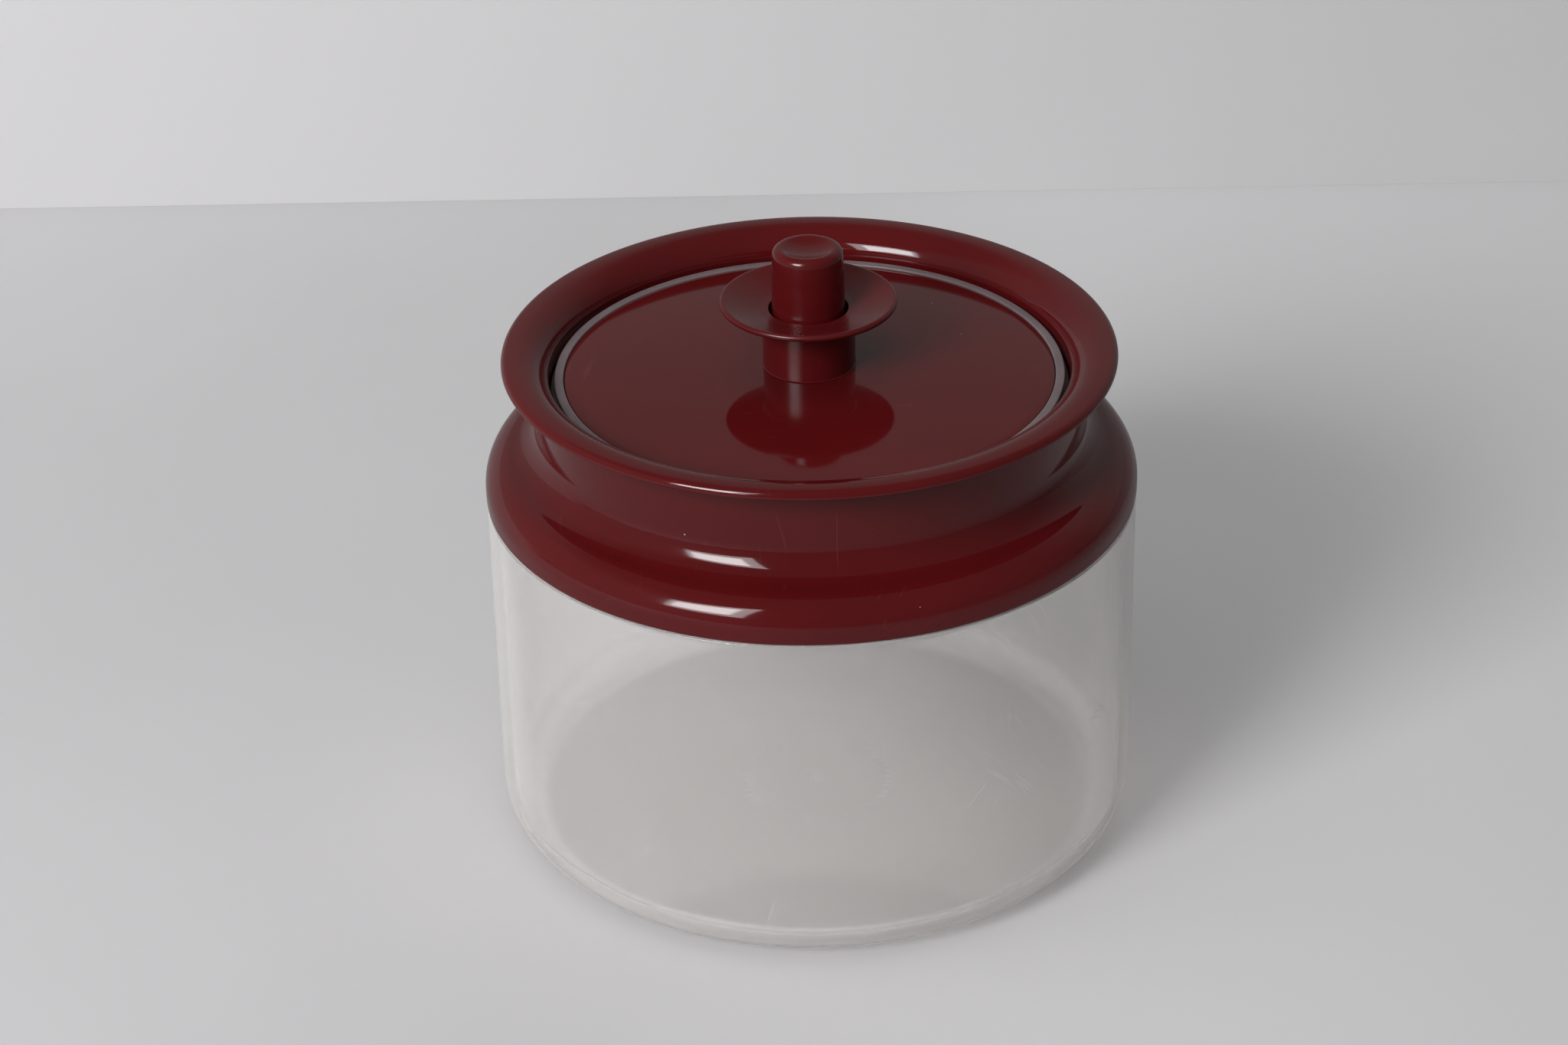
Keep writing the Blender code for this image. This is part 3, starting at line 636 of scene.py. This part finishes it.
def clear_plastic(name, colour):
    """Clear moulded plastic that passes lamp light, with a slight haze, scratches of use and a floor greyed partly
    with painted shade.
    """
    material, shader = new_material(name)
    tree = material.node_tree
    lines = place_group(tree, shared_groups()["hairline_scratches"], Fineness=500.0, Share=0.008)
    where = axes(tree)
    radius = vector_maths(tree, "LENGTH", object_point(tree, scale=(1.0, 1.0, 0.0)), output="Value")
    height = where["Z"]
    floor = times(tree, ramp(tree, radius, *FLOOR_EDGE, 1.0, 0.0), ramp(tree, height, *FLOOR_TOP, 1.0, 0.0))
    corner = times(tree, ramp(tree, radius, *CORNER_REACH), ramp(tree, height, *CORNER_TOP, 1.0, 0.0))
    unmarked = maths(tree, "SUBTRACT", 1.0, base_marks(tree, where, radius))
    # Painted shade: the floor's grey stands partly for the shade of the table under the jar, and is painted darker on
    # the lamp-lit left against the lamp's light; the ribs and the gate are left out of it
    painted_shade_left = ramp(tree, where["X"], *SIDE_TO_SIDE, 1.0, 0.0)
    floor_tint_and_painted_shade = mix_colour(tree, painted_shade_left, scaled(colour, FLOOR_TINT_AND_SHADE_RIGHT), scaled(colour, FLOOR_TINT_AND_SHADE_LEFT))
    tint_and_painted_shade = mix_colour(tree, times(tree, floor, unmarked), colour, floor_tint_and_painted_shade)
    scuffed = mix_colour(tree, times(tree, lines.outputs["Mask"], 0.5), tint_and_painted_shade, WHITE)
    tree.links.new(scuffed, shader.inputs["Base Color"])
    rough = maths(tree, "ADD", 0.05, times(tree, lines.outputs["Mask"], 0.22))
    tree.links.new(rough, shader.inputs["Roughness"])
    moulded_bump(tree, shader, 0.12, 0.0006, Wave_scale=18.0, Grain_scale=600.0, Grain_share=0.01)
    set_values(shader, Transmission_Weight=0.895, IOR=1.50)

    # Lamp light goes straight through, and more of it at the corner
    path = tree.nodes.new("ShaderNodeLightPath")
    open_way = tree.nodes.new("ShaderNodeBsdfTransparent")
    tree.links.new(mix_colour(tree, corner, WALL_PASS, CORNER_PASS), open_way.inputs["Color"])
    lit = mix_shader(tree, path.outputs["Is Shadow Ray"], shader, open_way)

    # The outline and the corner show milky, as in thick clear plastic
    rim_way = tree.nodes.new("ShaderNodeBsdfTransparent")
    milk = tree.nodes.new("ShaderNodeBsdfDiffuse")
    set_values(rim_way, Color=RIM_PASS)
    set_values(milk, Color=MILK)
    facing = tree.nodes.new("ShaderNodeLayerWeight").outputs["Facing"]
    outline = ramp(tree, facing, 0.55, 0.90, 0.0, 0.92)
    milky = maths(tree, "MAXIMUM", outline, times(tree, corner, 0.50))
    set_surface(tree, mix_shader(tree, milky, lit, mix_shader(tree, 0.45, rim_way, milk)))
    return material


def cloudy(tree, shader, scale, detail, first, second, polish):
    """Colour and roughness that vary with one soft noise."""
    cloud = noise(tree, object_point(tree), scale, detail)
    tree.links.new(mix_colour(tree, ramp(tree, cloud, 0.35, 0.65), first, second), shader.inputs["Base Color"])
    tree.links.new(ramp(tree, cloud, 0.3, 0.7, *polish), shader.inputs["Roughness"])


def soft_rubber(name, colour):
    """Soft grey rubber that lets a little light in."""
    material, shader = new_material(name)
    tree = material.node_tree
    cloudy(tree, shader, 40.0, 3.0, colour, scaled(colour, 0.82), (0.30, 0.45))
    moulded_bump(tree, shader, 0.3, 0.0003, Wave_scale=60.0, Grain_scale=1500.0, Grain_share=0.10)
    set_values(shader, IOR=1.47, Subsurface_Weight=0.35, Subsurface_Radius=(0.0015,) * 3, Subsurface_Scale=1.0)
    return material


def plain_steel(name):
    """Bare drawn steel, a little duller in fine spots."""
    material, shader = new_material(name)
    cloudy(material.node_tree, shader, 260.0, 4.0, STEEL, DULL_STEEL, (0.22, 0.38))
    set_values(shader, Metallic=1.0)
    return material


def seen_plainly(tree):
    """1 unless a ray comes from a mirroring surface; rays through the clear plastic count as plain."""
    path = tree.nodes.new("ShaderNodeLightPath")
    plain = maths(tree, "SUBTRACT", 1.0, path.outputs["Is Glossy Ray"])
    return maths(tree, "MAXIMUM", plain, path.outputs["Is Transmission Ray"])


def stage_paint(name, colour, scale, roughness, mirrored, painted_light=None):
    """A plain, almost even surface of the stage, dimmer in gloss and see-through from behind; where asked, it is
    painted lighter towards +X, as painted light.
    """
    material, shader = new_material(name)
    tree = material.node_tree
    cloud = noise(tree, object_point(tree), scale, detail=3.0)
    pale = mix_colour(tree, ramp(tree, cloud, 0.3, 0.7), colour, scaled(colour, 0.96))
    if painted_light:
        # Painted light: the colour grows lighter towards +X, standing in for lamp light
        pale = mix_colour(tree, ramp(tree, axes(tree)["X"], *TABLE_PAINTED_LIGHT), pale, scaled(colour, painted_light))
    seen = mix_colour(tree, seen_plainly(tree), scaled(colour, mirrored), pale)
    tree.links.new(seen, shader.inputs["Base Color"])
    set_values(shader, Roughness=roughness, Specular_IOR_Level=0.2)
    behind = tree.nodes.new("ShaderNodeNewGeometry").outputs["Backfacing"]
    set_surface(tree, mix_shader(tree, behind, shader, tree.nodes.new("ShaderNodeBsdfTransparent")))
    return material


# Pieces


class CONTAINER_OT_jar(bpy.types.Operator):
    """Turn the clear jar, with its foot ring, rounded base and stepped rim"""

    bl_idname = "container.jar"
    bl_label = "Clear Jar"

    def execute(self, context):
        sizes = context.scene.container_jar
        radius = jar_high.x
        bore = radius - sizes.wall
        foot = radius - sizes.corner
        inner = sizes.corner - sizes.wall
        level = sizes.foot_recess + sizes.floor
        edge = sizes.foot_recess
        outline = Outline(0.0, edge - sizes.gate_height)
        outline.to((sizes.gate_radius, edge - sizes.gate_height), (sizes.gate_radius + sizes.gate_height, edge))
        outline.to((sizes.rib_radius - sizes.rib_length / 2, edge), (sizes.rib_radius + sizes.rib_length / 2, edge))
        stand = foot - sizes.foot_width
        for across, up in HOLLOW_SHARES:
            outline.to((stand - across * sizes.hollow, up * edge))
        outline.to((stand, 0.0), (foot, 0.0))
        outline.turn((foot, sizes.corner), 90.0, 14)
        step = sizes.step_height - SMALL_ROUND
        outline.to((radius, step))
        outline.turn((radius - SMALL_ROUND, step), 90.0, 3)
        rim = bore + sizes.rim_wall
        rim_top = jar_high.z - RIM_ROUND
        outline.to((rim, sizes.step_height), (rim, rim_top))
        outline.turn((rim - RIM_ROUND, rim_top), 90.0, 3)
        outline.to((bore + RIM_ROUND, jar_high.z))
        outline.turn((bore + RIM_ROUND, rim_top), 90.0, 3)
        outline.to((bore, level + inner))
        outline.turn((foot, level + inner), -90.0, 12)
        outline.to((0.0, level))
        mesh = outline.spun("clear_jar", sizes.segments)
        raise_ribs(mesh, sizes)
        plastic = clear_plastic("jar_plastic", tuple(sizes.plastic))
        smooth_piece("clear_jar", mesh, plastic, "container", "clear_plastic", "jar_body")
        return {"FINISHED"}


def raise_ribs(mesh, sizes):
    """Raises short ribs from every fourth face of the rib circle, under the base."""
    shape = bmesh.new()
    shape.from_mesh(mesh)
    pitch = math.tau / sizes.segments
    chosen = []
    for face in shape.faces:
        middle = face.calc_center_median()
        across = abs(middle.xy.length - sizes.rib_radius)
        turn = round(math.atan2(middle.y, middle.x) / pitch - 0.5)
        below = middle.z < sizes.foot_recess + sizes.floor / 2
        if below and across < sizes.rib_length / 4 and turn % RIB_EVERY == 0:
            chosen.append(face)
    bmesh.ops.inset_individual(shape, faces=chosen, thickness=RIB_INSET, depth=sizes.rib_height)
    shape.to_mesh(mesh)
    shape.free()


class CONTAINER_OT_collar(bpy.types.Operator):
    """Turn the collar, from its skirt over the shoulder and the waist to the flared lip"""

    bl_idname = "container.collar"
    bl_label = "Neck Collar"

    def execute(self, context):
        sizes = context.scene.container_collar
        skirt = collar_high.x
        foot = collar_low.z
        lip_top = collar_high.z + sizes.lip_rise
        waist = sizes.waist
        slope = math.degrees(sizes.shoulder_slope)
        big = sizes.shoulder_share * (skirt - waist)
        bulge = (skirt - big, foot + sizes.band)
        run = skirt - waist - 2 * big * (1 - math.sin(sizes.shoulder_slope))
        rise = 2 * big * math.cos(sizes.shoulder_slope) + run * math.tan(sizes.shoulder_slope)
        hollow = (waist + big, bulge[1] + rise)
        outward = math.degrees(sizes.outer_slope)
        reach = (sizes.outer_crown - sizes.lip_round) * math.sin(sizes.outer_slope)
        crest = sizes.lip_radius - sizes.lip_round - reach
        outer_crown = (crest, lip_top - sizes.outer_crown)
        rim = on_circle(outer_crown, sizes.outer_crown - sizes.lip_round, 90.0 - outward)
        nose = (sizes.lip_radius - sizes.lip_corner, rim[1] - NOSE_DROP)
        level = math.degrees(sizes.underlip_slope)
        under = on_circle(nose, sizes.lip_corner, level - 90.0)
        fillet_r = waist + sizes.underlip
        touch = fillet_r - sizes.underlip * math.sin(sizes.underlip_slope)
        fall = (under[0] - touch) * math.tan(sizes.underlip_slope)
        fillet = (fillet_r, under[1] - fall - sizes.underlip * math.cos(sizes.underlip_slope))
        inner_crown = (crest, lip_top - sizes.inner_crown)
        inward = math.degrees(sizes.inner_slope)
        throat = on_circle(inner_crown, sizes.inner_crown - sizes.throat, 90.0 + inward)
        steep = math.degrees(sizes.throat_slope)
        brink = on_circle(throat, sizes.throat, 90.0 + steep)
        closing = (brink[0] - sizes.bore) / (1 - math.sin(sizes.throat_slope))
        bore_round = (sizes.bore + closing, brink[1] - closing * math.cos(sizes.throat_slope))
        turned = 90.0 - slope
        corner = sizes.skirt_edge
        outline = Outline(skirt - corner, foot)
        outline.turn((skirt - corner, foot + corner), 90.0, 5)
        outline.to((skirt, bulge[1]))
        outline.turn(bulge, turned, 22)
        outline.to(on_circle(hollow, big, 180.0 + turned))
        outline.turn(hollow, -turned, 22)
        outline.to((waist, fillet[1]))
        outline.turn(fillet, level - 90.0, 10)
        outline.to(under)
        outline.turn(nose, 90.0 - level, 5)
        outline.to((sizes.lip_radius, rim[1]))
        outline.turn(rim, 90.0 - outward, 12)
        outline.turn(outer_crown, outward, 6)
        outline.turn(inner_crown, inward, 18)
        outline.turn(throat, steep - inward, 10)
        outline.turn(bore_round, 90.0 - steep, 8)
        ledge = collar_high.z - sizes.ledge_drop
        outline.to((sizes.bore, ledge + RIM_ROUND))
        outline.turn((sizes.bore - RIM_ROUND, ledge + RIM_ROUND), -90.0, 3)
        brow = sizes.ledge_radius + SMALL_ROUND
        outline.to((brow, ledge))
        outline.turn((brow, ledge - SMALL_ROUND), 90.0, 3)
        outline.to((sizes.ledge_radius, ledge - sizes.ledge_thickness))
        outer = big + sizes.wall
        outline.to((hollow[0] - outer, hollow[1]))
        outline.turn(hollow, turned, 18)
        tight = big - sizes.wall
        outline.to(on_circle(bulge, tight, turned))
        lap = math.degrees(math.asin(LAP_SHARE))
        outline.turn(bulge, lap - turned, 12)
        gap_radius = collar_lap_radius()
        outline.to((gap_radius, on_circle(bulge, tight, lap)[1]), (gap_radius, foot))
        red_piece(outline.spun("waisted_collar", sizes.segments), "container", "neck_collar", parted=True)
        return {"FINISHED"}


def collar_lap_radius():
    """Inner radius of the collar's skirt, just outside the jar's rim."""
    jar = bpy.context.scene.container_jar
    return jar_high.x - jar.wall + jar.rim_wall + GAP


def dome_height(sizes, radius):
    """Height of the disc's domed top at a radius; the dome is flatter in its middle than a ball."""
    pad = bpy.context.scene.container_knob.tube_radius + PAD_MARGIN
    edge_share = (radius / disc_high.x) ** sizes.dome_power
    pad_share = (pad / disc_high.x) ** sizes.dome_power
    edge_z = disc_low_edge() + sizes.disc_thickness
    return edge_z + (pad_height() - edge_z) * (1 - edge_share) / (1 - pad_share)


def pad_height():
    """Height of the pad under the tube, just below the tube's foot."""
    return tube_low.z - GAP


def dome_run(sizes, start, end, drop):
    """Points of the dome from one radius to another, lowered by drop."""
    radii = [start + (end - start) * step / DOME_STEPS for step in range(DOME_STEPS + 1)]
    return [(radius, dome_height(sizes, radius) - drop) for radius in radii]


def disc_low_edge():
    """Underside of the disc at its edge, on the web of the soft ring."""
    lid = bpy.context.scene.container_lid
    return ring_low.z + lid.web_height + GAP


class CONTAINER_OT_disc(bpy.types.Operator):
    """Turn the domed lid disc with its spigot, guide and rib"""

    bl_idname = "container.disc"
    bl_label = "Lid Disc"

    def execute(self, context):
        sizes = context.scene.container_lid
        knob = context.scene.container_knob
        bottom = disc_low_edge()
        top = bottom + sizes.disc_thickness
        pad = knob.tube_radius + PAD_MARGIN
        pad_z = pad_height()
        spigot = knob.tube_radius - knob.tube_wall - GAP
        inner = spigot - SPIGOT_WALL
        outline = Outline(POST_BORE, pad_z)
        outline.to((inner, pad_z), (inner, disc_high.z), (spigot, disc_high.z), (spigot, pad_z), (pad, pad_z))
        edge = disc_high.x - sizes.disc_edge
        outline.to(*dome_run(sizes, pad, edge, 0.0)[1:])
        outline.to((edge + EDGE_RUN, outline.tip.co.z - EDGE_FALL))
        outline.to((disc_high.x, top - sizes.disc_edge), (disc_high.x, bottom))
        rib = ring_inner_radius() - GAP
        rib_foot = bottom - DISC_RIB_SHARE * sizes.web_height
        outline.to((rib, dome_height(sizes, rib) - sizes.disc_thickness), (rib, rib_foot), (rib - DISC_RIB, rib_foot))
        guide = POST_BORE + GUIDE_WALL
        outline.to(*dome_run(sizes, rib - DISC_RIB, guide, sizes.disc_thickness))
        guide_foot = outline.tip.co.z - GUIDE_DEPTH
        outline.to((guide, guide_foot), (POST_BORE, guide_foot))
        red_piece(outline.spun("domed_disc", sizes.segments), "lid", "lid_disc")
        return {"FINISHED"}


def ring_inner_radius():
    """Inner radius of the soft ring's web."""
    return disc_high.x - RING_SETBACK


class CONTAINER_OT_soft_ring(bpy.types.Operator):
    """Turn the soft ring with its web, its sealing bulge and its rounded lip"""

    bl_idname = "container.soft_ring"
    bl_label = "Soft Ring"

    def execute(self, context):
        sizes = context.scene.container_lid
        foot = ring_low.z
        web = foot + sizes.web_height
        bulge_top = foot + sizes.bulge_share * sizes.web_height
        bulge_foot = (foot + bulge_top) / 2
        outer = context.scene.container_collar.bore - GAP
        top = ring_high.z
        bend = sizes.lip_round
        inner = disc_high.x + sizes.lip_gap
        outline = Outline(ring_inner_radius(), foot)
        outline.to((outer - sizes.foot_setback, foot), (outer, bulge_foot), (outer, bulge_top))
        outline.to((sizes.lip_outer, web + RING_FLANK), (sizes.lip_outer, top - bend))
        outline.turn((sizes.lip_outer - bend, top - bend), 90.0, 6)
        outline.to((inner + bend, top))
        outline.turn((inner + bend, top - bend), 90.0, 6)
        outline.to((inner, web), (ring_inner_radius(), web))
        mesh = outline.spun("soft_ring", sizes.segments)
        rubber = soft_rubber("ring_rubber", tuple(sizes.rubber))
        smooth_piece("soft_ring", mesh, rubber, "lid", "soft_rubber", "gasket_ring")
        return {"FINISHED"}


class CONTAINER_OT_knob(bpy.types.Operator):
    """Turn the tube with its saucer flange"""

    bl_idname = "container.knob"
    bl_label = "Knob Tube"

    def execute(self, context):
        sizes = context.scene.container_knob
        bore = sizes.tube_radius - sizes.tube_wall
        foot = tube_low.z - sizes.bead_drop
        mouth = tube_low.z + sizes.mouth_height
        half = sizes.saucer_thickness / 2
        run = sizes.saucer_radius - half - sizes.tube_radius
        dish = run / (math.sin(sizes.saucer_slope) - math.sin(sizes.saucer_root))
        rim = math.degrees(sizes.saucer_slope)
        mouth_slope = math.degrees(sizes.saucer_root)
        centre = (sizes.tube_radius - dish * math.sin(sizes.saucer_root), mouth + dish * math.cos(sizes.saucer_root))
        under = dish + sizes.saucer_thickness
        fillet_r = sizes.tube_radius + sizes.saucer_fillet
        root = math.degrees(math.asin((fillet_r - centre[0]) / (under + sizes.saucer_fillet)))
        fillet = on_circle(centre, under + sizes.saucer_fillet, root - 90.0)
        edge = on_circle(centre, dish + half, rim - 90.0)
        outline = Outline(bore, foot)
        outline.to((sizes.tube_radius + sizes.bead / 2, foot))
        outline.turn((sizes.tube_radius + sizes.bead / 2, foot + sizes.bead / 2), 90.0, 3)
        outline.to((sizes.tube_radius, foot + 1.5 * sizes.bead), (sizes.tube_radius, fillet[1]))
        outline.turn(fillet, root - 90.0, 8)
        outline.turn(centre, rim - root, 12)
        outline.turn(edge, 180.0, 12)
        outline.turn(centre, mouth_slope - rim, 16)
        outline.to((bore + RIM_ROUND, mouth))
        outline.turn((bore + RIM_ROUND, mouth - RIM_ROUND), 90.0, 4)
        red_piece(outline.spun("saucer_tube", sizes.segments), "lid", "knob_tube", TUBE_POLISH)
        return {"FINISHED"}


class CONTAINER_OT_plunger(bpy.types.Operator):
    """Turn the plunger with its thumb dish, its hollow cap and its post"""

    bl_idname = "container.plunger"
    bl_label = "Plunger"

    def execute(self, context):
        sizes = context.scene.container_knob
        top = plunger_high.z
        slope = math.degrees(sizes.dish_slope)
        crest = (sizes.plunger_top - sizes.crest, top - sizes.crest)
        edge_r = crest[0] - sizes.crest * math.sin(sizes.dish_slope)
        dish = edge_r / math.sin(sizes.dish_slope)
        fall = sizes.crest * (1 - math.cos(sizes.dish_slope)) + dish * (1 - math.cos(sizes.dish_slope))
        bottom = top - fall
        cap = bottom - sizes.plunger_cap
        inner = sizes.plunger_top - sizes.plunger_wall
        post_end = plunger_low.z
        outline = Outline(0.0, bottom)
        outline.turn((0.0, bottom + dish), slope, 14)
        outline.turn(crest, -(90.0 + slope), 14)
        skirt = disc_high.z + PRESS + SKIRT_MARGIN
        outline.to((sizes.plunger_base, skirt + SMALL_ROUND), (sizes.plunger_base - SMALL_ROUND, skirt))
        outline.to((inner, skirt), (inner, cap), (POST_RADIUS, cap), (POST_RADIUS, post_end), (SCREW_BORE, post_end))
        outline.to((SCREW_BORE, post_end + PILOT_DEPTH), (0.0, post_end + PILOT_TIP))
        red_piece(outline.spun("push_plunger", sizes.segments), "plunger", "plunger", PLUNGER_POLISH)
        return {"FINISHED"}


class CONTAINER_OT_pressure_plate(bpy.types.Operator):
    """Turn the pressure plate with its boss and rib"""

    bl_idname = "container.pressure_plate"
    bl_label = "Pressure Plate"

    def execute(self, context):
        sizes = context.scene.container_lid
        edge = plate_high.x
        under = plate_low.z + PLATE_RIB_DROP
        top = under + PLATE_THICKNESS
        middle = PLATE_RIB_SHARE * edge
        rib, flat = PLATE_RIB_HALF, PLATE_RIB_HALF - SMALL_ROUND
        rib_round = plate_low.z + SMALL_ROUND
        outline = Outline(SCREW_BORE, under)
        outline.to((middle - rib, under), (middle - rib, rib_round))
        outline.turn((middle - flat, rib_round), 90.0, 3)
        outline.to((middle + flat, plate_low.z))
        outline.turn((middle + flat, rib_round), 90.0, 3)
        outline.to((middle + rib, under), (edge - PLATE_ROUND, under))
        outline.turn((edge - PLATE_ROUND, under + PLATE_ROUND), 90.0, 5)
        outline.to((edge, top), (PLATE_BOSS, top), (PLATE_BOSS, plate_high.z), (POST_BORE, plate_high.z))
        outline.to((POST_BORE, top), (SCREW_BORE, top))
        red_piece(outline.spun("ring_plate", sizes.segments), "plunger", "pressure_plate")
        return {"FINISHED"}


class CONTAINER_OT_spring(bpy.types.Operator):
    """Coil the return spring round the plunger's post, with a closed turn at each end"""

    bl_idname = "container.spring"
    bl_label = "Return Spring"

    def execute(self, context):
        sizes = context.scene.container_knob
        foot, head = spring_low.z + sizes.wire, spring_high.z - sizes.wire
        closed = CLOSED_SHARE * (head - foot)
        opened = head - foot - 2 * closed
        shape = bmesh.new()
        bmesh.ops.create_circle(shape, cap_ends=False, segments=WIRE_SIDES, radius=sizes.wire)
        turn_and_move(shape, math.pi / 2, (spring_high.x - sizes.wire, 0.0, foot))
        section = shape.verts[:] + shape.edges[:]
        for turns, rise in ((1, closed), (sizes.turns - 2, opened), (1, closed)):
            steps = COIL_STEPS * turns
            section = spin(shape, section, (0.0, 0.0, 0.0), (0.0, 0.0, 1.0), math.tau * turns, steps, rise)
        ends = [edge for edge in shape.edges if edge.is_boundary]
        bmesh.ops.holes_fill(shape, edges=ends, sides=WIRE_SIDES)
        bmesh.ops.recalc_face_normals(shape, faces=shape.faces[:])
        mesh = finished_mesh(shape, "coil_spring")
        piece = smooth_piece("coil_spring", mesh, plain_steel("spring_steel"), "lid", "bare_steel", "return_spring")
        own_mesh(piece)
        return {"FINISHED"}


class CONTAINER_OT_screw(bpy.types.Operator):
    """Give the plate's screw its steel"""

    bl_idname = "container.screw"
    bl_label = "Plate Screw"

    def execute(self, context):
        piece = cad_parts["plate_screw"]
        steel = plain_steel("screw_steel")
        if piece.material_slots:
            for slot in piece.material_slots:
                slot.material = steel
        else:
            piece.data.materials.append(steel)
        return {"FINISHED"}


# Table, lamps and camera


def add_lamp(name, place, turn, size, power, colour, in_gloss):
    """A rectangular area lamp, turned in degrees from facing down."""
    lamp = bpy.data.lights.new(name, "AREA")
    lamp.shape = "RECTANGLE"
    lamp.size, lamp.size_y = size
    lamp.energy = power
    lamp.color = colour
    holder = bpy.data.objects.new(name, lamp)
    bpy.context.scene.collection.objects.link(holder)
    holder.location = place
    holder.rotation_euler = [math.radians(value) for value in turn]
    holder.visible_glossy = in_gloss


def add_world():
    """A pale room that shows dimmer in gloss, a little lighter behind the table and at its left, not overhead."""
    world = bpy.data.worlds.new("room")
    bpy.context.scene.world = world
    world.use_nodes = True
    tree = world.node_tree
    room = tree.nodes["Background"]
    way = axes(tree, tree.nodes.new("ShaderNodeTexCoord").outputs["Generated"])
    behind = ramp(tree, way["Y"], *ROOM_BEHIND)
    beside = ramp(tree, way["X"], *ROOM_LEFT, 1.0, 0.0)
    low = ramp(tree, way["Z"], *ROOM_LOW, 1.0, 0.0)
    lit = times(tree, maths(tree, "MAXIMUM", behind, beside), low)
    path = tree.nodes.new("ShaderNodeLightPath")
    mirrored = mix_colour(tree, lit, GLOSS_DIM, GLOSS_LIT)
    light = mix_colour(tree, path.outputs["Is Glossy Ray"], ROOM_LIGHT, mirrored)
    seen = maths(tree, "MAXIMUM", path.outputs["Is Camera Ray"], path.outputs["Is Transmission Ray"])
    tree.links.new(mix_colour(tree, seen, light, BACKDROP), room.inputs["Color"])
    room.inputs["Strength"].default_value = 1.0


def add_sheet(name, spread, turn, place, material):
    """A flat square of the stage, moved and turned in its mesh."""
    shape = bmesh.new()
    bmesh.ops.create_grid(shape, x_segments=2, y_segments=2, size=1.0)
    bmesh.ops.scale(shape, vec=(spread[0], spread[1], 1.0), verts=shape.verts)
    turn_and_move(shape, turn, place)
    mesh = finished_mesh(shape, name)
    mesh.materials.append(material)
    sheet = bpy.data.objects.new(name, mesh)
    bpy.context.scene.collection.objects.link(sheet)


class CONTAINER_OT_stage(bpy.types.Operator):
    """Set the pale table, the lamps, the room and the photographed view"""

    bl_idname = "container.stage"
    bl_label = "Table, Lamps and Camera"

    def execute(self, context):
        sizes = context.scene.container_view
        # The table cloth is painted 15 % lighter towards the right, as painted light
        cloth = stage_paint("table_cloth", tuple(sizes.table_colour), 3.5, 0.85, 0.56, painted_light=1.15)
        add_sheet("table", (STAGE_REACH, STAGE_REACH), 0.0, (0.0, 0.0, -TABLE_DROP), cloth)
        half = sizes.wall_height / 2
        paint = stage_paint("wall_paint", tuple(sizes.wall_colour), 2.0, 0.8, 0.45)
        add_sheet("wall", (STAGE_REACH, half), math.pi / 2, (0.0, sizes.wall_distance, half), paint)
        add_world()
        for name, values in LAMPS.items():
            add_lamp(name, *values)
        camera = bpy.data.cameras.new("photo_camera")
        camera.lens = sizes.focal_length
        camera.sensor_width = SENSOR_WIDTH
        camera.sensor_fit = "HORIZONTAL"
        camera.clip_start = NEAREST
        holder = bpy.data.objects.new("photo_camera", camera)
        context.scene.collection.objects.link(holder)
        aim = (
            Matrix.Rotation(-sizes.heading, 4, "Z")
            @ Matrix.Rotation(math.pi / 2 - sizes.tilt, 4, "X")
            @ Matrix.Rotation(sizes.roll, 4, "Z")
        )
        holder.matrix_world = Matrix.Translation((0.0, -sizes.camera_back, sizes.camera_height)) @ aim
        context.scene.camera = holder
        context.scene.view_settings.view_transform = "Standard"
        return {"FINISHED"}


class CONTAINER_PT_pieces(bpy.types.Panel):
    """Lists the container's pieces and their settings"""

    bl_idname = "CONTAINER_PT_pieces"
    bl_label = "Cookie Storage Container"
    bl_space_type = "VIEW_3D"
    bl_region_type = "UI"
    bl_category = "Container"

    def draw(self, context):
        layout = self.layout
        for heading, settings, operators in PANEL_GROUPS:
            box = layout.box()
            box.label(text=heading)
            group = getattr(context.scene, settings)
            for key in group.__annotations__:
                box.prop(group, key)
            for operator in operators:
                box.operator(operator.bl_idname)


PANEL_GROUPS = (
    ("Jar", "container_jar", (CONTAINER_OT_jar,)),
    ("Collar", "container_collar", (CONTAINER_OT_collar,)),
    ("Lid", "container_lid", (CONTAINER_OT_disc, CONTAINER_OT_soft_ring, CONTAINER_OT_pressure_plate)),
    ("Knob", "container_knob", (CONTAINER_OT_knob, CONTAINER_OT_plunger, CONTAINER_OT_spring, CONTAINER_OT_screw)),
    ("View", "container_view", (CONTAINER_OT_stage,)),
)
SETTINGS = {
    "container_jar": JarSettings,
    "container_collar": CollarSettings,
    "container_lid": LidSettings,
    "container_knob": KnobSettings,
    "container_view": ViewSettings,
}
OPERATORS = tuple(operator for group in PANEL_GROUPS for operator in group[2])


def register():
    for settings in SETTINGS.values():
        bpy.utils.register_class(settings)
    for name, settings in SETTINGS.items():
        setattr(bpy.types.Scene, name, PointerProperty(type=settings))
    for operator in OPERATORS:
        bpy.utils.register_class(operator)
    bpy.utils.register_class(CONTAINER_PT_pieces)


def unregister():
    bpy.utils.unregister_class(CONTAINER_PT_pieces)
    for operator in reversed(OPERATORS):
        bpy.utils.unregister_class(operator)
    for name, settings in SETTINGS.items():
        delattr(bpy.types.Scene, name)
        bpy.utils.unregister_class(settings)


def main():
    register()
    bpy.ops.container.jar()
    bpy.ops.container.collar()
    bpy.ops.container.disc()
    bpy.ops.container.soft_ring()
    bpy.ops.container.pressure_plate()
    bpy.ops.container.knob()
    bpy.ops.container.plunger()
    bpy.ops.container.spring()
    bpy.ops.container.screw()
    bpy.ops.container.stage()


if __name__ == "__main__":
    main()
